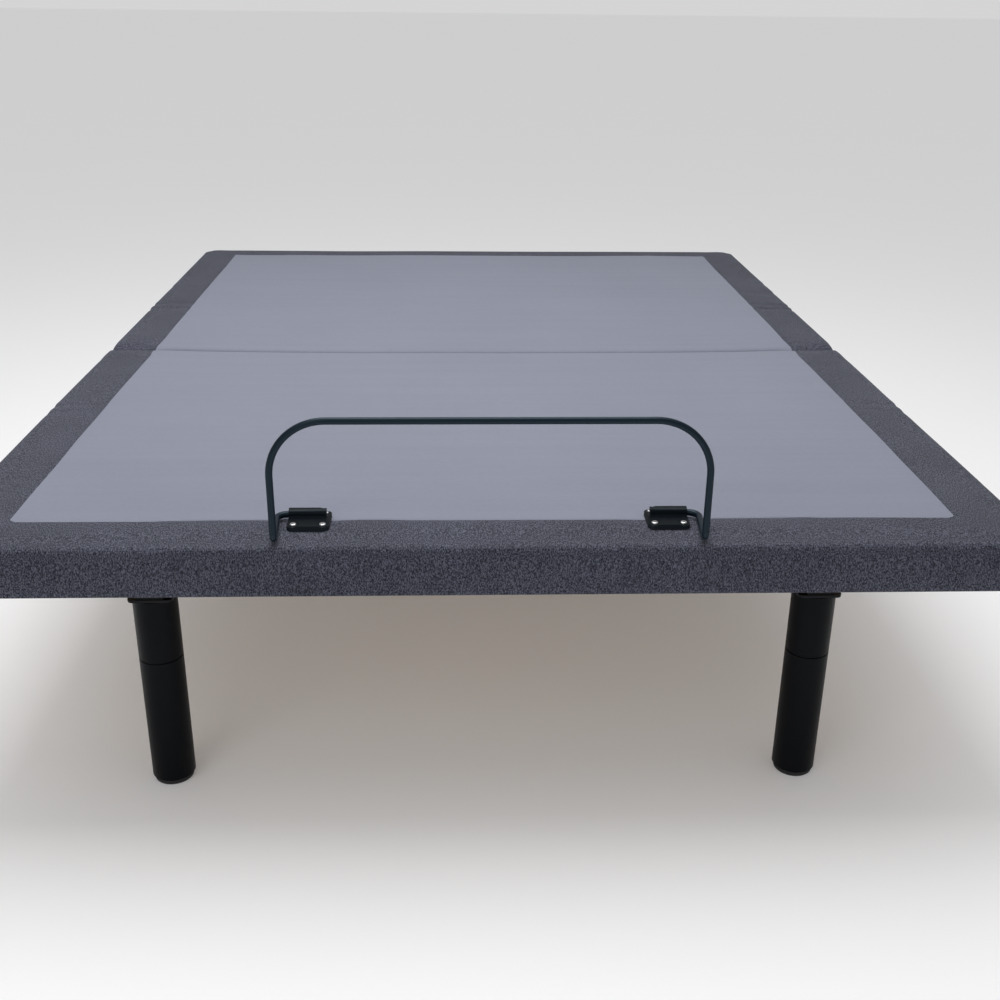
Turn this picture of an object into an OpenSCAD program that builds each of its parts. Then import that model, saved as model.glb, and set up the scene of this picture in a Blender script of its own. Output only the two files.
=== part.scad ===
// Adjustable bed base with a hinged, upholstered deck on a tubular steel frame.
// The origin is on the floor, midway between the sides and midway between the ends.
// +X runs to the right as seen from the foot end, +Y runs to the head end and +Z is up.

/* [Deck] */
// Width of the deck over its fabric border
bed_w = 1524; // [1300:1:1900]
// Length of the deck over its fabric border
bed_l = 2032; // [1900:1:2440]
// Length of the calf section, from the foot end to the knee hinge
calf_len = 596; // [500:1:680]
// Length of the thigh section, from the knee hinge to the seat hinge
thigh_len = 390; // [370:1:450]
// Length of the fixed seat section, from the seat hinge to the back hinge
seat_len = 350; // [330:1:420]
// Plan radius of the deck's four corners
corner_r = 40; // [25:1:80]
// Thickness of the foam pads
pad_t = 21; // [16:1:26]
// Radius of the pads' outer top edges
pad_edge_r = 16; // [4:1:20]
// Thickness of the plywood boards
board_t = 18; // [12:1:21]
// Height of the timber battens under the boards
batten_h = 33; // [24:1:45]
// Width of the timber battens
batten_w = 30; // [20:1:45]
// Gap left between butted battens
batten_gap = 0.3; // [0.2:0.1:1]
// Thickness of the fabric border
border_t = 4; // [2:0.5:8]
// Height by which the border hangs below the battens
border_drop = 1; // [0:0.5:4]

/* [Deck hinges] */
// Depth of the hinge axes below the top of the deck
hinge_depth = 28; // [28:1:34]
// Distance that boards and battens keep from a hinge axis
hinge_setback = 22; // [21:1:30]
// Diameter of the hinge pins
hinge_pin_d = 7; // [5:0.5:9]
// Diameter of the hinge knuckles
knuckle_d = 13; // [11:0.5:13]
// Thickness of the hinge plates
leaf_t = 3; // [2:0.5:5]
// Distance that the hinge plates keep from the pads above them
leaf_drop = 2; // [1:0.5:4]
// Overall width of one hinge
hinge_w = 60; // [50:1:90]
// Width of a hinge's middle knuckle
mid_knuckle_w = 26; // [16:1:30]
// Side gap between two knuckles
knuckle_gap = 1; // [0.5:0.1:2]
// Radial clearance of the pins in the knuckles
pin_clear = 0.05; // [0.02:0.01:0.1]
// Thickness of the heads on the hinge pins
pin_head_t = 2; // [1:0.5:3]
// Distance of the inner hinges from the middle of the bed
hinge_inner_x = 200; // [150:1:240]
// Distance of the outer hinges from the edge of the deck
hinge_edge_x = 112; // [90:1:160]
// Radius of the pads' edges at the open seam
seam_r = 26; // [24:1:30]
// Width of the open seam between the seat pad and the thigh pad
seam_gap = 5; // [4:0.5:8]
// Width of the gap between the seat pad and the head pad
back_gap = 34; // [34:1:40]
// Width of the gap between the thigh pad and the calf pad
knee_gap = 2; // [1:0.5:6]
// Width of the gap in the border at the back hinge
back_border_gap = 10; // [9:1:14]

/* [Frame] */
// Width and height of the square frame tubes
tube_w = 40; // [36:1:60]
// Wall of the square frame tubes
tube_wall = 2.5; // [1.5:0.5:4]
// Distance of the side rails' middles from the middle of the bed
rail_x = 482; // [440:1:560]
// Distance of the side rails' head ends from the head end of the deck
rail_inset = 66; // [40:1:90]
// Distance that the side rails run past the middles of the foot legs
rail_lap = 30; // [30:1:50]
// Gap between the top of the rails and the battens
deck_gap = 10; // [8:1:20]
// Length of each post that carries the seat section
post_l = 30; // [20:1:30]
// Distance of the first middle cross tube from the seat hinge
seat_tube_in = 30; // [25:1:40]
// Distance of the second middle cross tube from the back hinge
back_tube_in = 30; // [25:1:40]

/* [Headboard plates] */
// Width of the headboard plates
board_plate_w = 60; // [50:1:80]
// Height of the headboard plates
board_plate_h = 96; // [90:1:120]
// Thickness of the headboard plates
board_plate_t = 5; // [4:1:8]
// Diameter of the headboard bolt holes
board_hole_d = 10.5; // [8:0.5:12]
// Height between the headboard bolt holes
board_hole_rise = 56; // [50:1:70]

/* [Legs] */
// Diameter of the legs
leg_d = 64; // [50:1:80]
// Height of a leg's upper section
leg_upper_h = 101; // [80:1:150]
// Height of a leg's lower section
leg_lower_h = 205; // [100:1:260]
// Distance of the end legs from the ends of the deck
leg_inset = 120; // [100:1:180]
// Size of the bevel on the legs' edges
leg_bevel = 1.2; // [0.5:0.1:3]
// Diameter of the floor glides
glide_d = 58; // [40:1:62]
// Height of the floor glides
glide_h = 8; // [5:1:15]
// Side of the square leg plates
socket_w = 64; // [56:1:100]
// Thickness of the leg plates
socket_t = 4; // [3:0.5:8]
// Plan radius of the leg plates' corners
socket_r = 8; // [4:1:12]
// Diameter of the leg studs
stud_d = 10; // [8:1:12]
// Radial gap round the studs in the side rails
stud_gap = 2; // [1:0.5:3]
// Depth to which a stud enters a leg section
stud_in = 34; // [20:1:40]
// Free depth left beyond the end of each stud
stud_spare = 2; // [1:1:5]

/* [Lift gear] */
// Diameter of the lift tubes
lift_tube_d = 38; // [30:1:40]
// Wall of the lift tubes
lift_tube_wall = 3; // [2:0.5:5]
// Distance of a lift tube from its hinge axis, along the bed
lift_back = 50; // [45:1:55]
// Length of the head lift arms
head_arm_l = 330; // [300:1:380]
// Length of the foot lift arms
foot_arm_l = 230; // [200:1:235]
// Distance of the lift arms from the middle of the bed
arm_x = 300; // [260:1:340]
// Thickness of the lift arms
arm_t = 8; // [6:1:12]
// Height of the lift arms
arm_h = 34; // [28:1:36]
// Width of metal round the lift tube where arms and levers are welded on
hub_rim = 6; // [4:1:8]
// Diameter of the lift rollers
roller_d = 50; // [40:1:54]
// Width of the lift rollers
roller_w = 26; // [20:1:34]
// Diameter of the roller axles
axle_d = 12; // [10:1:16]
// Thickness of the heads on the roller axles and clevis pins
axle_head_t = 3; // [2:0.5:3]
// Side gap on each side of a roller
roller_side_gap = 1; // [0.5:0.5:2]
// Gap between a resting roller and the board above it
roller_gap = 4; // [3:1:8]
// Width of the lift shoes
shoe_w = 26; // [20:1:36]
// Clearance between a roller and its shoe
shoe_clear = 0.3; // [0.2:0.1:0.5]
// Thickness of the bearing plates
bearing_t = 6; // [4:1:10]
// Length of the bearing plates
bearing_l = 70; // [60:1:90]
// Height of the bearing plates
bearing_h = 52; // [50:1:54]
// Gap between a lift tube's end and the rail
tube_end_gap = 1; // [0.5:0.5:3]

/* [Actuators] */
// Distance of the actuators from the middle of the bed
actuator_x = 120; // [110:1:140]
// Length of the drive levers
lever_l = 75; // [70:1:80]
// Thickness of each drive lever plate
lever_t = 6; // [5:1:8]
// Width of the drive lever plates at their tips
lever_tip_w = 26; // [22:1:28]
// Greatest lift angle of the head section
head_lift_angle = 60; // [50:1:60]
// Greatest lift angle of the thigh section
thigh_lift_angle = 35; // [25:1:35]
// Diameter of the drive and clevis pins
drive_pin_d = 12; // [10:1:14]
// Clearance of the drive pin in its yoke, along the stroke
yoke_clear = 1; // [0.9:0.1:1.5]
// Clearance of the drive pin in its yoke, up and down
yoke_rise_clear = 1.5; // [1:0.5:3]
// Thickness of the yokes
yoke_t = 12; // [10:1:16]
// Width of metal around the yokes' windows
yoke_rim = 10; // [8:1:12]
// Gap between a yoke and the lever plates beside it
yoke_side_gap = 1.5; // [1:0.5:3]
// Diameter of the push rods
rod_d = 20; // [16:1:22]
// Radial clearance of the push rods
rod_clear = 0.05; // [0.02:0.01:0.1]
// Diameter of the actuators' outer tubes
outer_tube_d = 36; // [32:1:40]
// Distance from an actuator's clevis pin to the end of its outer tube
outer_tube_end = 262; // [250:1:270]
// Distance from an actuator's clevis pin to its gearbox
gearbox_y = 18; // [17:1:24]
// Length of the gearboxes
gearbox_l = 66; // [50:1:80]
// Height of the gearboxes
gearbox_h = 56; // [50:1:64]
// Distance from an actuator's middle to its motor's middle
motor_x = 54; // [50:1:60]
// Diameter of the motors
motor_d = 48; // [40:1:50]
// Length of the motors
motor_l = 118; // [90:1:140]
// Width of the actuators' rear eyes
eye_w = 24; // [20:1:28]
// Height and length of the actuators' rear eyes
eye_h = 28; // [24:1:32]
// Thickness of each clevis plate
clevis_t = 6; // [4:1:8]
// Gap between a clevis plate and the eye beside it
clevis_gap = 0.5; // [0.3:0.1:1]
// Width of metal round the clevis pins
clevis_rim = 9; // [6:1:10]
// Width of gearbox left beside the outer tube
gearbox_side = 10; // [6:1:12]
// Width of gearbox left beside the motor
motor_side = 4; // [2:1:6]
// Length of the collar on the end of the outer tube
collar_l = 16; // [10:1:20]
// Thickness of the collar on the end of the outer tube
collar_t = 3; // [2:0.5:4]
// Gap between the gearbox and the resting push rod
rod_back = 26; // [20:1:30]
// Free depth behind the resting push rod
rod_spare = 10; // [5:1:15]

/* [Control box] */
// Width of the control box
box_w = 180; // [140:1:220]
// Length of the control box
box_l = 110; // [80:1:140]
// Height of the control box
box_h = 40; // [30:1:45]
// Distance of the control box from the middle of the bed
box_x = 320; // [300:1:330]
// Plan radius of the control box's corners
box_r = 6; // [3:1:10]
// Depth to which the control box hangs below the frame tubes
box_drop = 2; // [0:1:10]
// Width of each socket in the control box
port_w = 18; // [12:1:20]
// Height of each socket in the control box
port_h = 16; // [10:1:18]
// Depth of each socket in the control box
port_in = 12; // [8:1:16]

/* [Mattress retainer] */
// Distance of the retainer's uprights from the middle of the bed
retainer_x = 286.5; // [240:0.5:330]
// Height of the retainer's rod middle above the deck
retainer_h = 175; // [120:1:220]
// Diameter of the retainer's rod
retainer_d = 9.5; // [8:0.5:12]
// Radius of the retainer's top corners
retainer_corner_r = 75; // [50:1:100]
// Radius of the bend at the foot of each upright
retainer_foot_r = 12; // [10:1:20]
// Radius of the bend beside each bracket
retainer_turn_r = 15; // [12:1:20]
// Outward slant of the rod along the deck
retainer_slant = 5; // [0:1:8]
// Height of the weld beads where the rod is joined
retainer_bead = 0.2; // [0.1:0.1:0.6]
// Distance of the uprights from the foot end of the deck
retainer_inset = 5; // [5:1:12]
// Height of the rod's middle above the deck beside the brackets
retainer_rod_z = 7.5; // [6.5:0.5:10]
// Side of the square retainer brackets
bracket_w = 58; // [50:1:70]
// Thickness of the brackets' base
bracket_t = 5; // [4:0.5:6]
// Radius of the brackets' corners
bracket_corner_r = 9; // [5:1:12]
// Radius of the ridge that holds the rod
bracket_ridge_r = 9; // [8:0.5:11]
// Distance of the ridge's closed end from the bracket's edge
bracket_ridge_in = 6; // [4:1:8]
// Distance of the brackets' middles from the middle of the bed
bracket_x = 248; // [200:1:290]
// Distance of the brackets' middles from the foot end of the deck
bracket_in = 82; // [75:1:110]
// Distance of the rod from the bracket's middle
bracket_rod_in = 13; // [10:1:15]
// Distance of the screws from the bracket's middle
screw_in = 20; // [16:1:22]
// Diameter of the bracket screws
screw_d = 5; // [4:0.5:6]
// Diameter of the screw heads
screw_head_d = 10; // [8:0.5:12]
// Height of the screw heads
screw_head_h = 3; // [2:0.5:4]
// Radial gap round the screw heads where the ridge is cut back
screw_head_gap = 0.5; // [0.2:0.1:0.6]
// Depth to which the screws enter the board
screw_bite = 12; // [8:1:12]

/* [Hidden] */
$fn = 48;
EPS = 0.5;

// Heights, from the floor up
joint_z = glide_h + leg_lower_h;
leg_top_z = joint_z + leg_upper_h;
rail_z = leg_top_z + socket_t;
rail_top_z = rail_z + tube_w;
batten_z = rail_top_z + deck_gap;
board_z = batten_z + batten_h;
pad_z = board_z + board_t;
deck_z = pad_z + pad_t;
border_z = batten_z - border_drop;
hinge_z = deck_z - hinge_depth;
lift_z = rail_z + tube_w / 2;

// Stations along the bed
foot_y = -bed_l / 2;
head_y = bed_l / 2;
knee_y = foot_y + calf_len;
seat_y = knee_y + thigh_len;
back_y = seat_y + seat_len;
seat_tube_y = seat_y + seat_tube_in;
back_tube_y = back_y - back_tube_in;
head_lift_y = back_y + lift_back;
foot_lift_y = seat_y - lift_back;
leg_ys = [foot_y + leg_inset, (seat_y + back_y) / 2, head_y - leg_inset];

// Stations across the bed
rail_in_x = rail_x - tube_w / 2;
hinge_xs = [-(bed_w / 2 - hinge_edge_x), -hinge_inner_x, hinge_inner_x, bed_w / 2 - hinge_edge_x];

// Lift gear: each arm turns with its panel, so the roller's path on the panel is a true arc
lift_drop = hinge_z - lift_z;
board_under = hinge_z - board_z;
shoe_rise = lift_drop - board_under - roller_d / 2 - roller_gap;
shoe_r = sqrt(lift_back * lift_back + lift_drop * lift_drop) - roller_d / 2 - shoe_clear;
head_arm_angle = asin(shoe_rise / head_arm_l);
foot_arm_angle = asin(shoe_rise / foot_arm_l);
roller_x = arm_x + arm_t + roller_side_gap;
axle_end = roller_w + 2 * roller_side_gap;

// Actuators: a lever swings equally to both sides of its lowest point
head_swing = head_lift_angle / 2;
foot_swing = thigh_lift_angle / 2;
head_act_z = lift_z - lever_l * (1 + cos(head_swing)) / 2;
foot_act_z = lift_z - lever_l * (1 + cos(foot_swing)) / 2;
head_act_l = head_lift_y - lever_l * sin(head_swing) - seat_tube_y;
foot_act_l = back_tube_y - foot_lift_y - lever_l * sin(foot_swing);
rod_start = gearbox_y + gearbox_l + rod_back;
clevis_r = drive_pin_d / 2 + clevis_rim;

// Retainer
rod_y = foot_y + bracket_in + bracket_rod_in;
rod_z = deck_z + retainer_rod_z;
upright_y = foot_y + retainer_inset;
run_l = (rod_y - retainer_turn_r * (1 + sin(retainer_slant)) - upright_y) / cos(retainer_slant);
screw_spots = [[-1, -1], [1, -1], [-1, 1]];

// ---------- shared shapes ----------

// A flat shape drawn in Y and Z, drawn out along X
module along_x(x0, x1) {
    translate([x0, 0, 0]) rotate([90, 0, 90]) linear_extrude(x1 - x0) children();
}

// A flat shape drawn in X and Z, drawn out along Y
module along_y(y0, y1) {
    translate([0, y1, 0]) rotate([90, 0, 0]) linear_extrude(y1 - y0) children();
}

// A round bar along X
module bar_x(x0, x1, r) {
    translate([x0, 0, 0]) rotate([0, 90, 0]) cylinder(h = x1 - x0, r = r);
}

// A round bar along Y
module bar_y(y0, y1, r) {
    translate([0, y0, 0]) rotate([-90, 0, 0]) cylinder(h = y1 - y0, r = r);
}

module box(x0, x1, y0, y1, z0, z1) {
    translate([x0, y0, z0]) cube([x1 - x0, y1 - y0, z1 - z0]);
}

module rounded_rect(w, l, r) {
    square([w - 2 * r, l], center = true);
    square([w, l - 2 * r], center = true);
    for (x = [-1, 1], y = [-1, 1]) translate([x * (w / 2 - r), y * (l / 2 - r)]) circle(r);
}

// The deck's outline, cut in by a margin, from z0 to z1
module deck_slab(margin, z0, z1) {
    translate([0, 0, z0]) linear_extrude(z1 - z0)
        rounded_rect(bed_w - 2 * margin, bed_l - 2 * margin, corner_r - margin);
}

// The stretch of a deck slab between two stations
module deck_part(margin, y0, y1, z0, z1) {
    intersection() {
        deck_slab(margin, z0, z1);
        box(-bed_w, bed_w, y0, y1, z0 - 1, z1 + 1);
    }
}

// ---------- deck sections ----------

module board(y0, y1) {
    color("burlywood") deck_part(border_t, y0, y1, board_z, pad_z);
}

// Battens under a board: two along the sides, and one across at each station in ys
module battens(y0, y1, ys) {
    side = bed_w / 2 - border_t;
    color("tan") {
        for (s = [-1, 1])
            intersection() {
                deck_part(border_t, y0, y1, batten_z, board_z);
                box(s > 0 ? side - batten_w : -side, s > 0 ? side : -side + batten_w,
                    y0, y1, batten_z, board_z);
            }
        for (y = ys)
            box(-side + batten_w + batten_gap, side - batten_w - batten_gap,
                y, y + batten_w, batten_z, board_z);
    }
}

// A pad's long section, with an edge radius at each end
module pad_section(y0, y1, r0, r1, z0, z1) {
    intersection() {
        translate([y0, z0]) square([y1 - y0, z1 - z0]);
        union() {
            translate([y0 + r0, z0]) square([y1 - y0 - r0 - r1, z1 - z0]);
            for (e = [[y0 + r0, r0, y0], [y1 - r1, r1, y1 - r1]]) {
                if (e[1] > 0) translate([e[0], z1 - e[1]]) circle(e[1], $fn = 96);
                if (e[1] > 0 && z1 - e[1] > z0)
                    translate([e[2], z0]) square([e[1], z1 - e[1] - z0]);
            }
        }
    }
}

module pad(y0, y1, r0, r1) {
    color("slategray") intersection() {
        deck_slab(0, pad_z, deck_z);
        along_x(-bed_w / 2, bed_w / 2) pad_section(y0, y1, r0, r1, pad_z, deck_z);
        along_y(y0, y1) pad_section(-bed_w / 2, bed_w / 2, pad_edge_r, pad_edge_r, pad_z, deck_z);
    }
}

module border(y0, y1) {
    color("dimgray") difference() {
        deck_part(0, y0, y1, border_z, pad_z);
        deck_slab(border_t, border_z - 1, pad_z + 1);
    }
}

module head_board() board(back_y + hinge_setback, head_y);
module seat_board() board(seat_y + hinge_setback, back_y - hinge_setback);
module thigh_board() board(knee_y + hinge_setback, seat_y - hinge_setback);
module calf_board() {
    color("burlywood") difference() {
        board(foot_y, knee_y - hinge_setback);
        bracket_screw_holes();
    }
}

module head_battens() {
    y0 = back_y + hinge_setback;
    y1 = head_y - border_t;
    battens(y0, y1, [y0, y1 - batten_w - corner_r]);
}
module seat_battens() {
    y0 = seat_y + hinge_setback;
    y1 = back_y - hinge_setback;
    battens(y0, y1, [y0, y1 - batten_w]);
}
module thigh_battens() {
    y0 = knee_y + hinge_setback;
    y1 = seat_y - hinge_setback;
    battens(y0, y1, [y0, y1 - batten_w]);
}
module calf_battens() {
    y0 = foot_y + border_t;
    y1 = knee_y - hinge_setback;
    battens(y0, y1, [y0 + corner_r, y1 - batten_w]);
}

module head_pad() pad(back_y + back_gap / 2, head_y, 0, pad_edge_r);
module seat_pad() pad(seat_y + seam_gap / 2, back_y - back_gap / 2, seam_r, 0);
module thigh_pad() pad(knee_y + knee_gap / 2, seat_y - seam_gap / 2, 0, seam_r);
module calf_pad() {
    color("slategray") difference() {
        pad(foot_y, knee_y - knee_gap / 2, pad_edge_r, 0);
        bracket_screw_holes();
    }
}

module head_border() border(back_y + back_border_gap / 2, head_y);
module seat_border() border(seat_y + seam_gap / 2 + EPS, back_y - back_border_gap / 2);
module thigh_border() border(knee_y + hinge_setback, seat_y - seam_gap / 2 - EPS);
module calf_border() border(foot_y, knee_y - hinge_setback);

// ---------- deck hinges ----------

// Half a hinge, with its plate on the +Y side of the axis
module hinge_half(outer) {
    edge = mid_knuckle_w / 2 + knuckle_gap;
    spans = outer ? [[-hinge_w / 2, -edge], [edge, hinge_w / 2]] : [[-mid_knuckle_w / 2, mid_knuckle_w / 2]];
    plate_y = hinge_setback - leaf_t;
    difference() {
        union() {
            box(-hinge_w / 2, hinge_w / 2, plate_y, hinge_setback,
                batten_z - hinge_z + leaf_t, pad_z - hinge_z - leaf_drop);
            for (s = spans) {
                bar_x(s[0], s[1], knuckle_d / 2);
                box(s[0], s[1], 0, plate_y + leaf_t / 2, -leaf_t / 2, leaf_t / 2);
            }
        }
        bar_x(-hinge_w, hinge_w, hinge_pin_d / 2 + pin_clear);
    }
}

module hinge_row(y, turn, outer) {
    for (x = hinge_xs) translate([x, y, hinge_z]) rotate([0, 0, turn]) hinge_half(outer);
}

module hinge_pin_row(y) {
    for (x = hinge_xs) translate([x, y, hinge_z]) {
        bar_x(-hinge_w / 2 - pin_head_t, hinge_w / 2 + pin_head_t, hinge_pin_d / 2);
        for (s = [-hinge_w / 2 - pin_head_t, hinge_w / 2])
            bar_x(s, s + pin_head_t, (hinge_pin_d + knuckle_d) / 4);
    }
}

module seat_hinge_plates() {
    color("darkgray") {
        hinge_row(seat_y, 0, true);
        hinge_row(back_y, 180, true);
    }
}
module head_hinge_plates() color("darkgray") hinge_row(back_y, 0, false);
module thigh_hinge_plates() {
    color("darkgray") {
        hinge_row(seat_y, 180, false);
        hinge_row(knee_y, 0, true);
    }
}
module calf_hinge_plates() color("darkgray") hinge_row(knee_y, 180, false);
module seat_hinge_pins() {
    color("silver") {
        hinge_pin_row(seat_y);
        hinge_pin_row(back_y);
    }
}
module knee_hinge_pins() color("silver") hinge_pin_row(knee_y);

// ---------- frame ----------

module side_rail(side) {
    y0 = foot_y + leg_inset - rail_lap;
    y1 = head_y - rail_inset;
    half = tube_w / 2;
    color("darkslategray") translate([side * rail_x, 0, 0]) difference() {
        union() {
            box(-half, half, y0, y1, rail_z, rail_top_z);
            box(-board_plate_w / 2, board_plate_w / 2, y1, y1 + board_plate_t,
                rail_top_z - board_plate_h, rail_top_z);
        }
        box(-half + tube_wall, half - tube_wall, y0 + tube_wall, y1,
            rail_z + tube_wall, rail_top_z - tube_wall);
        for (y = leg_ys) translate([0, y, rail_z - 1])
            cylinder(h = tube_wall + 2, r = stud_d / 2 + stud_gap);
        for (z = [lift_z, lift_z - board_hole_rise]) translate([0, 0, z])
            bar_y(y1 - 1, y1 + board_plate_t + 1, board_hole_d / 2);
    }
}

module cross_tube(y) {
    color("darkslategray") difference() {
        box(-rail_in_x, rail_in_x, y - tube_w / 2, y + tube_w / 2, rail_z, rail_top_z);
        box(-rail_in_x - 1, rail_in_x + 1, y - tube_w / 2 + tube_wall, y + tube_w / 2 - tube_wall,
            rail_z + tube_wall, rail_top_z - tube_wall);
    }
}

// Two hanging plates with a hole for an actuator's clevis pin
module clevis(x, y, z) {
    inner = eye_w / 2 + clevis_gap;
    color("darkslategray") for (s = [-1, 1])
        difference() {
            union() {
                box(x + (s > 0 ? inner : -inner - clevis_t), x + (s > 0 ? inner + clevis_t : -inner),
                    y - clevis_r, y + clevis_r, z, rail_z);
                translate([x + (s > 0 ? inner : -inner - clevis_t), y, z]) bar_x(0, clevis_t, clevis_r);
            }
            translate([0, y, z]) bar_x(x - 2 * eye_w, x + 2 * eye_w, drive_pin_d / 2 + pin_clear);
        }
}

module left_side_rail() side_rail(-1);
module right_side_rail() side_rail(1);
module foot_cross_tube() cross_tube(foot_y + leg_inset);
module head_cross_tube() cross_tube(head_y - leg_inset);
module seat_cross_tube() {
    cross_tube(seat_tube_y);
    clevis(actuator_x, seat_tube_y, head_act_z);
}
module back_cross_tube() {
    cross_tube(back_tube_y);
    clevis(-actuator_x, back_tube_y, foot_act_z);
}

module seat_posts() {
    y0 = seat_y + hinge_setback + batten_w / 2;
    y1 = back_y - hinge_setback - batten_w / 2;
    color("dimgray") for (s = [-1, 1], y = [y0, y1])
        box(s * rail_x - tube_w / 2, s * rail_x + tube_w / 2, y - post_l / 2, y + post_l / 2,
            rail_top_z, batten_z);
}

// ---------- legs ----------

module bevelled_post(d, h) {
    cylinder(h = leg_bevel, d1 = d - 2 * leg_bevel, d2 = d);
    translate([0, 0, leg_bevel]) cylinder(h = h - 2 * leg_bevel, d = d);
    translate([0, 0, h - leg_bevel]) cylinder(h = leg_bevel, d1 = d, d2 = d - 2 * leg_bevel);
}

module stud_hole(z0, z1) {
    translate([0, 0, z0]) cylinder(h = z1 - z0, r = stud_d / 2 + pin_clear);
}

module leg_upper(side, i) {
    color("black") translate([side * rail_x, leg_ys[i], joint_z]) difference() {
        bevelled_post(leg_d, leg_upper_h);
        stud_hole(-1, stud_in + stud_spare);
        stud_hole(leg_upper_h - stud_in - stud_spare, leg_upper_h + 1);
    }
}

module leg_lower(side, i) {
    color("black") translate([side * rail_x, leg_ys[i], glide_h]) difference() {
        bevelled_post(leg_d, leg_lower_h);
        stud_hole(leg_lower_h - stud_in - stud_spare, leg_lower_h + 1);
    }
}

module leg_plates() {
    color("darkslategray") for (s = [-1, 1], y = leg_ys) translate([s * rail_x, y, leg_top_z])
        difference() {
            linear_extrude(socket_t) rounded_rect(socket_w, socket_w, socket_r);
            stud_hole(-1, socket_t + 1);
        }
}

module leg_studs() {
    color("silver") for (s = [-1, 1], y = leg_ys) translate([s * rail_x, y, 0]) {
        translate([0, 0, joint_z - stud_in]) cylinder(h = 2 * stud_in, d = stud_d);
        translate([0, 0, leg_top_z - stud_in]) cylinder(h = stud_in + socket_t + tube_w / 3, d = stud_d);
    }
}

module leg_glides() {
    color("dimgray") for (s = [-1, 1], y = leg_ys) translate([s * rail_x, y, 0]) {
        cylinder(h = leg_bevel, d1 = glide_d - 2 * leg_bevel, d2 = glide_d);
        translate([0, 0, leg_bevel]) cylinder(h = glide_h - leg_bevel, d = glide_d);
    }
}

module foot_left_leg_upper() leg_upper(-1, 0);
module foot_left_leg_lower() leg_lower(-1, 0);
module foot_right_leg_upper() leg_upper(1, 0);
module foot_right_leg_lower() leg_lower(1, 0);
module seat_left_leg_upper() leg_upper(-1, 1);
module seat_left_leg_lower() leg_lower(-1, 1);
module seat_right_leg_upper() leg_upper(1, 1);
module seat_right_leg_lower() leg_lower(1, 1);
module head_left_leg_upper() leg_upper(-1, 2);
module head_left_leg_lower() leg_lower(-1, 2);
module head_right_leg_upper() leg_upper(1, 2);
module head_right_leg_lower() leg_lower(1, 2);

// ---------- lift gear ----------
// Each set is drawn round its lift tube's axis, with the arms towards +Y

module at_head_lift() translate([0, head_lift_y, lift_z]) children();
module at_foot_lift() translate([0, foot_lift_y, lift_z]) rotate([0, 0, 180]) children();

module lift_arm(arm_l, angle) {
    rotate([angle, 0, 0]) {
        bar_x(0, arm_t, lift_tube_d / 2 + hub_rim);
        box(0, arm_t, 0, arm_l, -arm_h / 2, arm_h / 2);
        translate([0, arm_l, 0]) {
            bar_x(0, arm_t, arm_h / 2);
            bar_x(arm_t, arm_t + axle_end, axle_d / 2);
            bar_x(arm_t + axle_end, arm_t + axle_end + axle_head_t, axle_d * 3 / 4);
        }
    }
}

// A pair of plates that hang from the lift tube, with the drive pin across their tips
module drive_lever(swing) {
    inner = yoke_t / 2 + yoke_side_gap;
    translate([actuator_x, 0, 0]) rotate([-swing, 0, 0]) {
        for (x = [-inner - lever_t, inner]) {
            bar_x(x, x + lever_t, lift_tube_d / 2 + hub_rim);
            box(x, x + lever_t, -lever_tip_w / 2, lever_tip_w / 2, -lever_l, 0);
            translate([0, 0, -lever_l]) bar_x(x, x + lever_t, lever_tip_w / 2);
        }
        translate([0, 0, -lever_l]) bar_x(-inner, inner, drive_pin_d / 2);
    }
}

module lift_arms(arm_l, angle, swing) {
    half = rail_in_x - tube_end_gap;
    color("dimgray") difference() {
        union() {
            bar_x(-half, half, lift_tube_d / 2);
            translate([arm_x, 0, 0]) lift_arm(arm_l, angle);
            mirror([1, 0, 0]) translate([arm_x, 0, 0]) lift_arm(arm_l, angle);
            drive_lever(swing);
        }
        bar_x(-half - 1, half + 1, lift_tube_d / 2 - lift_tube_wall);
    }
}

module lift_rollers(arm_l, angle) {
    color("whitesmoke") for (s = [-1, 1])
        translate([0, arm_l * cos(angle), arm_l * sin(angle)])
            translate([s > 0 ? roller_x : -roller_x - roller_w, 0, 0]) difference() {
                bar_x(0, roller_w, roller_d / 2);
                bar_x(-1, roller_w + 1, axle_d / 2 + pin_clear);
            }
}

// Shoes under a board: their lower faces are arcs about the rest position of the arm's end
module lift_shoes(arm_l, angle) {
    color("whitesmoke") for (x0 = [roller_x, -roller_x - shoe_w])
        intersection() {
            translate([x0, -lift_back + arm_l * cos(angle), lift_drop + shoe_rise]) bar_x(0, shoe_w, shoe_r);
            box(x0 - EPS, x0 + shoe_w + EPS, -lift_back, arm_l + shoe_r,
                lift_drop - shoe_r, lift_drop - board_under);
        }
}

module head_lift_arms() at_head_lift() lift_arms(head_arm_l, head_arm_angle, head_swing);
module foot_lift_arms() at_foot_lift() lift_arms(foot_arm_l, foot_arm_angle, foot_swing);
module head_lift_rollers() at_head_lift() lift_rollers(head_arm_l, head_arm_angle);
module foot_lift_rollers() at_foot_lift() lift_rollers(foot_arm_l, foot_arm_angle);
module head_lift_shoes() at_head_lift() lift_shoes(head_arm_l, head_arm_angle);
module foot_lift_shoes() at_foot_lift() lift_shoes(foot_arm_l, foot_arm_angle);

module lift_bearings() {
    color("darkslategray") for (s = [-1, 1], y = [foot_lift_y, head_lift_y])
        translate([s > 0 ? rail_in_x - bearing_t : -rail_in_x, y, lift_z]) difference() {
            box(0, bearing_t, -bearing_l / 2, bearing_l / 2, -bearing_h / 2, bearing_h / 2);
            bar_x(-1, bearing_t + 1, lift_tube_d / 2 + pin_clear);
        }
}

// ---------- actuators ----------
// Each is drawn round its clevis pin, pushing towards +Y

module at_head_actuator() translate([actuator_x, seat_tube_y, head_act_z]) children();
module at_foot_actuator() translate([-actuator_x, back_tube_y, foot_act_z]) rotate([0, 0, 180]) children();

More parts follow.
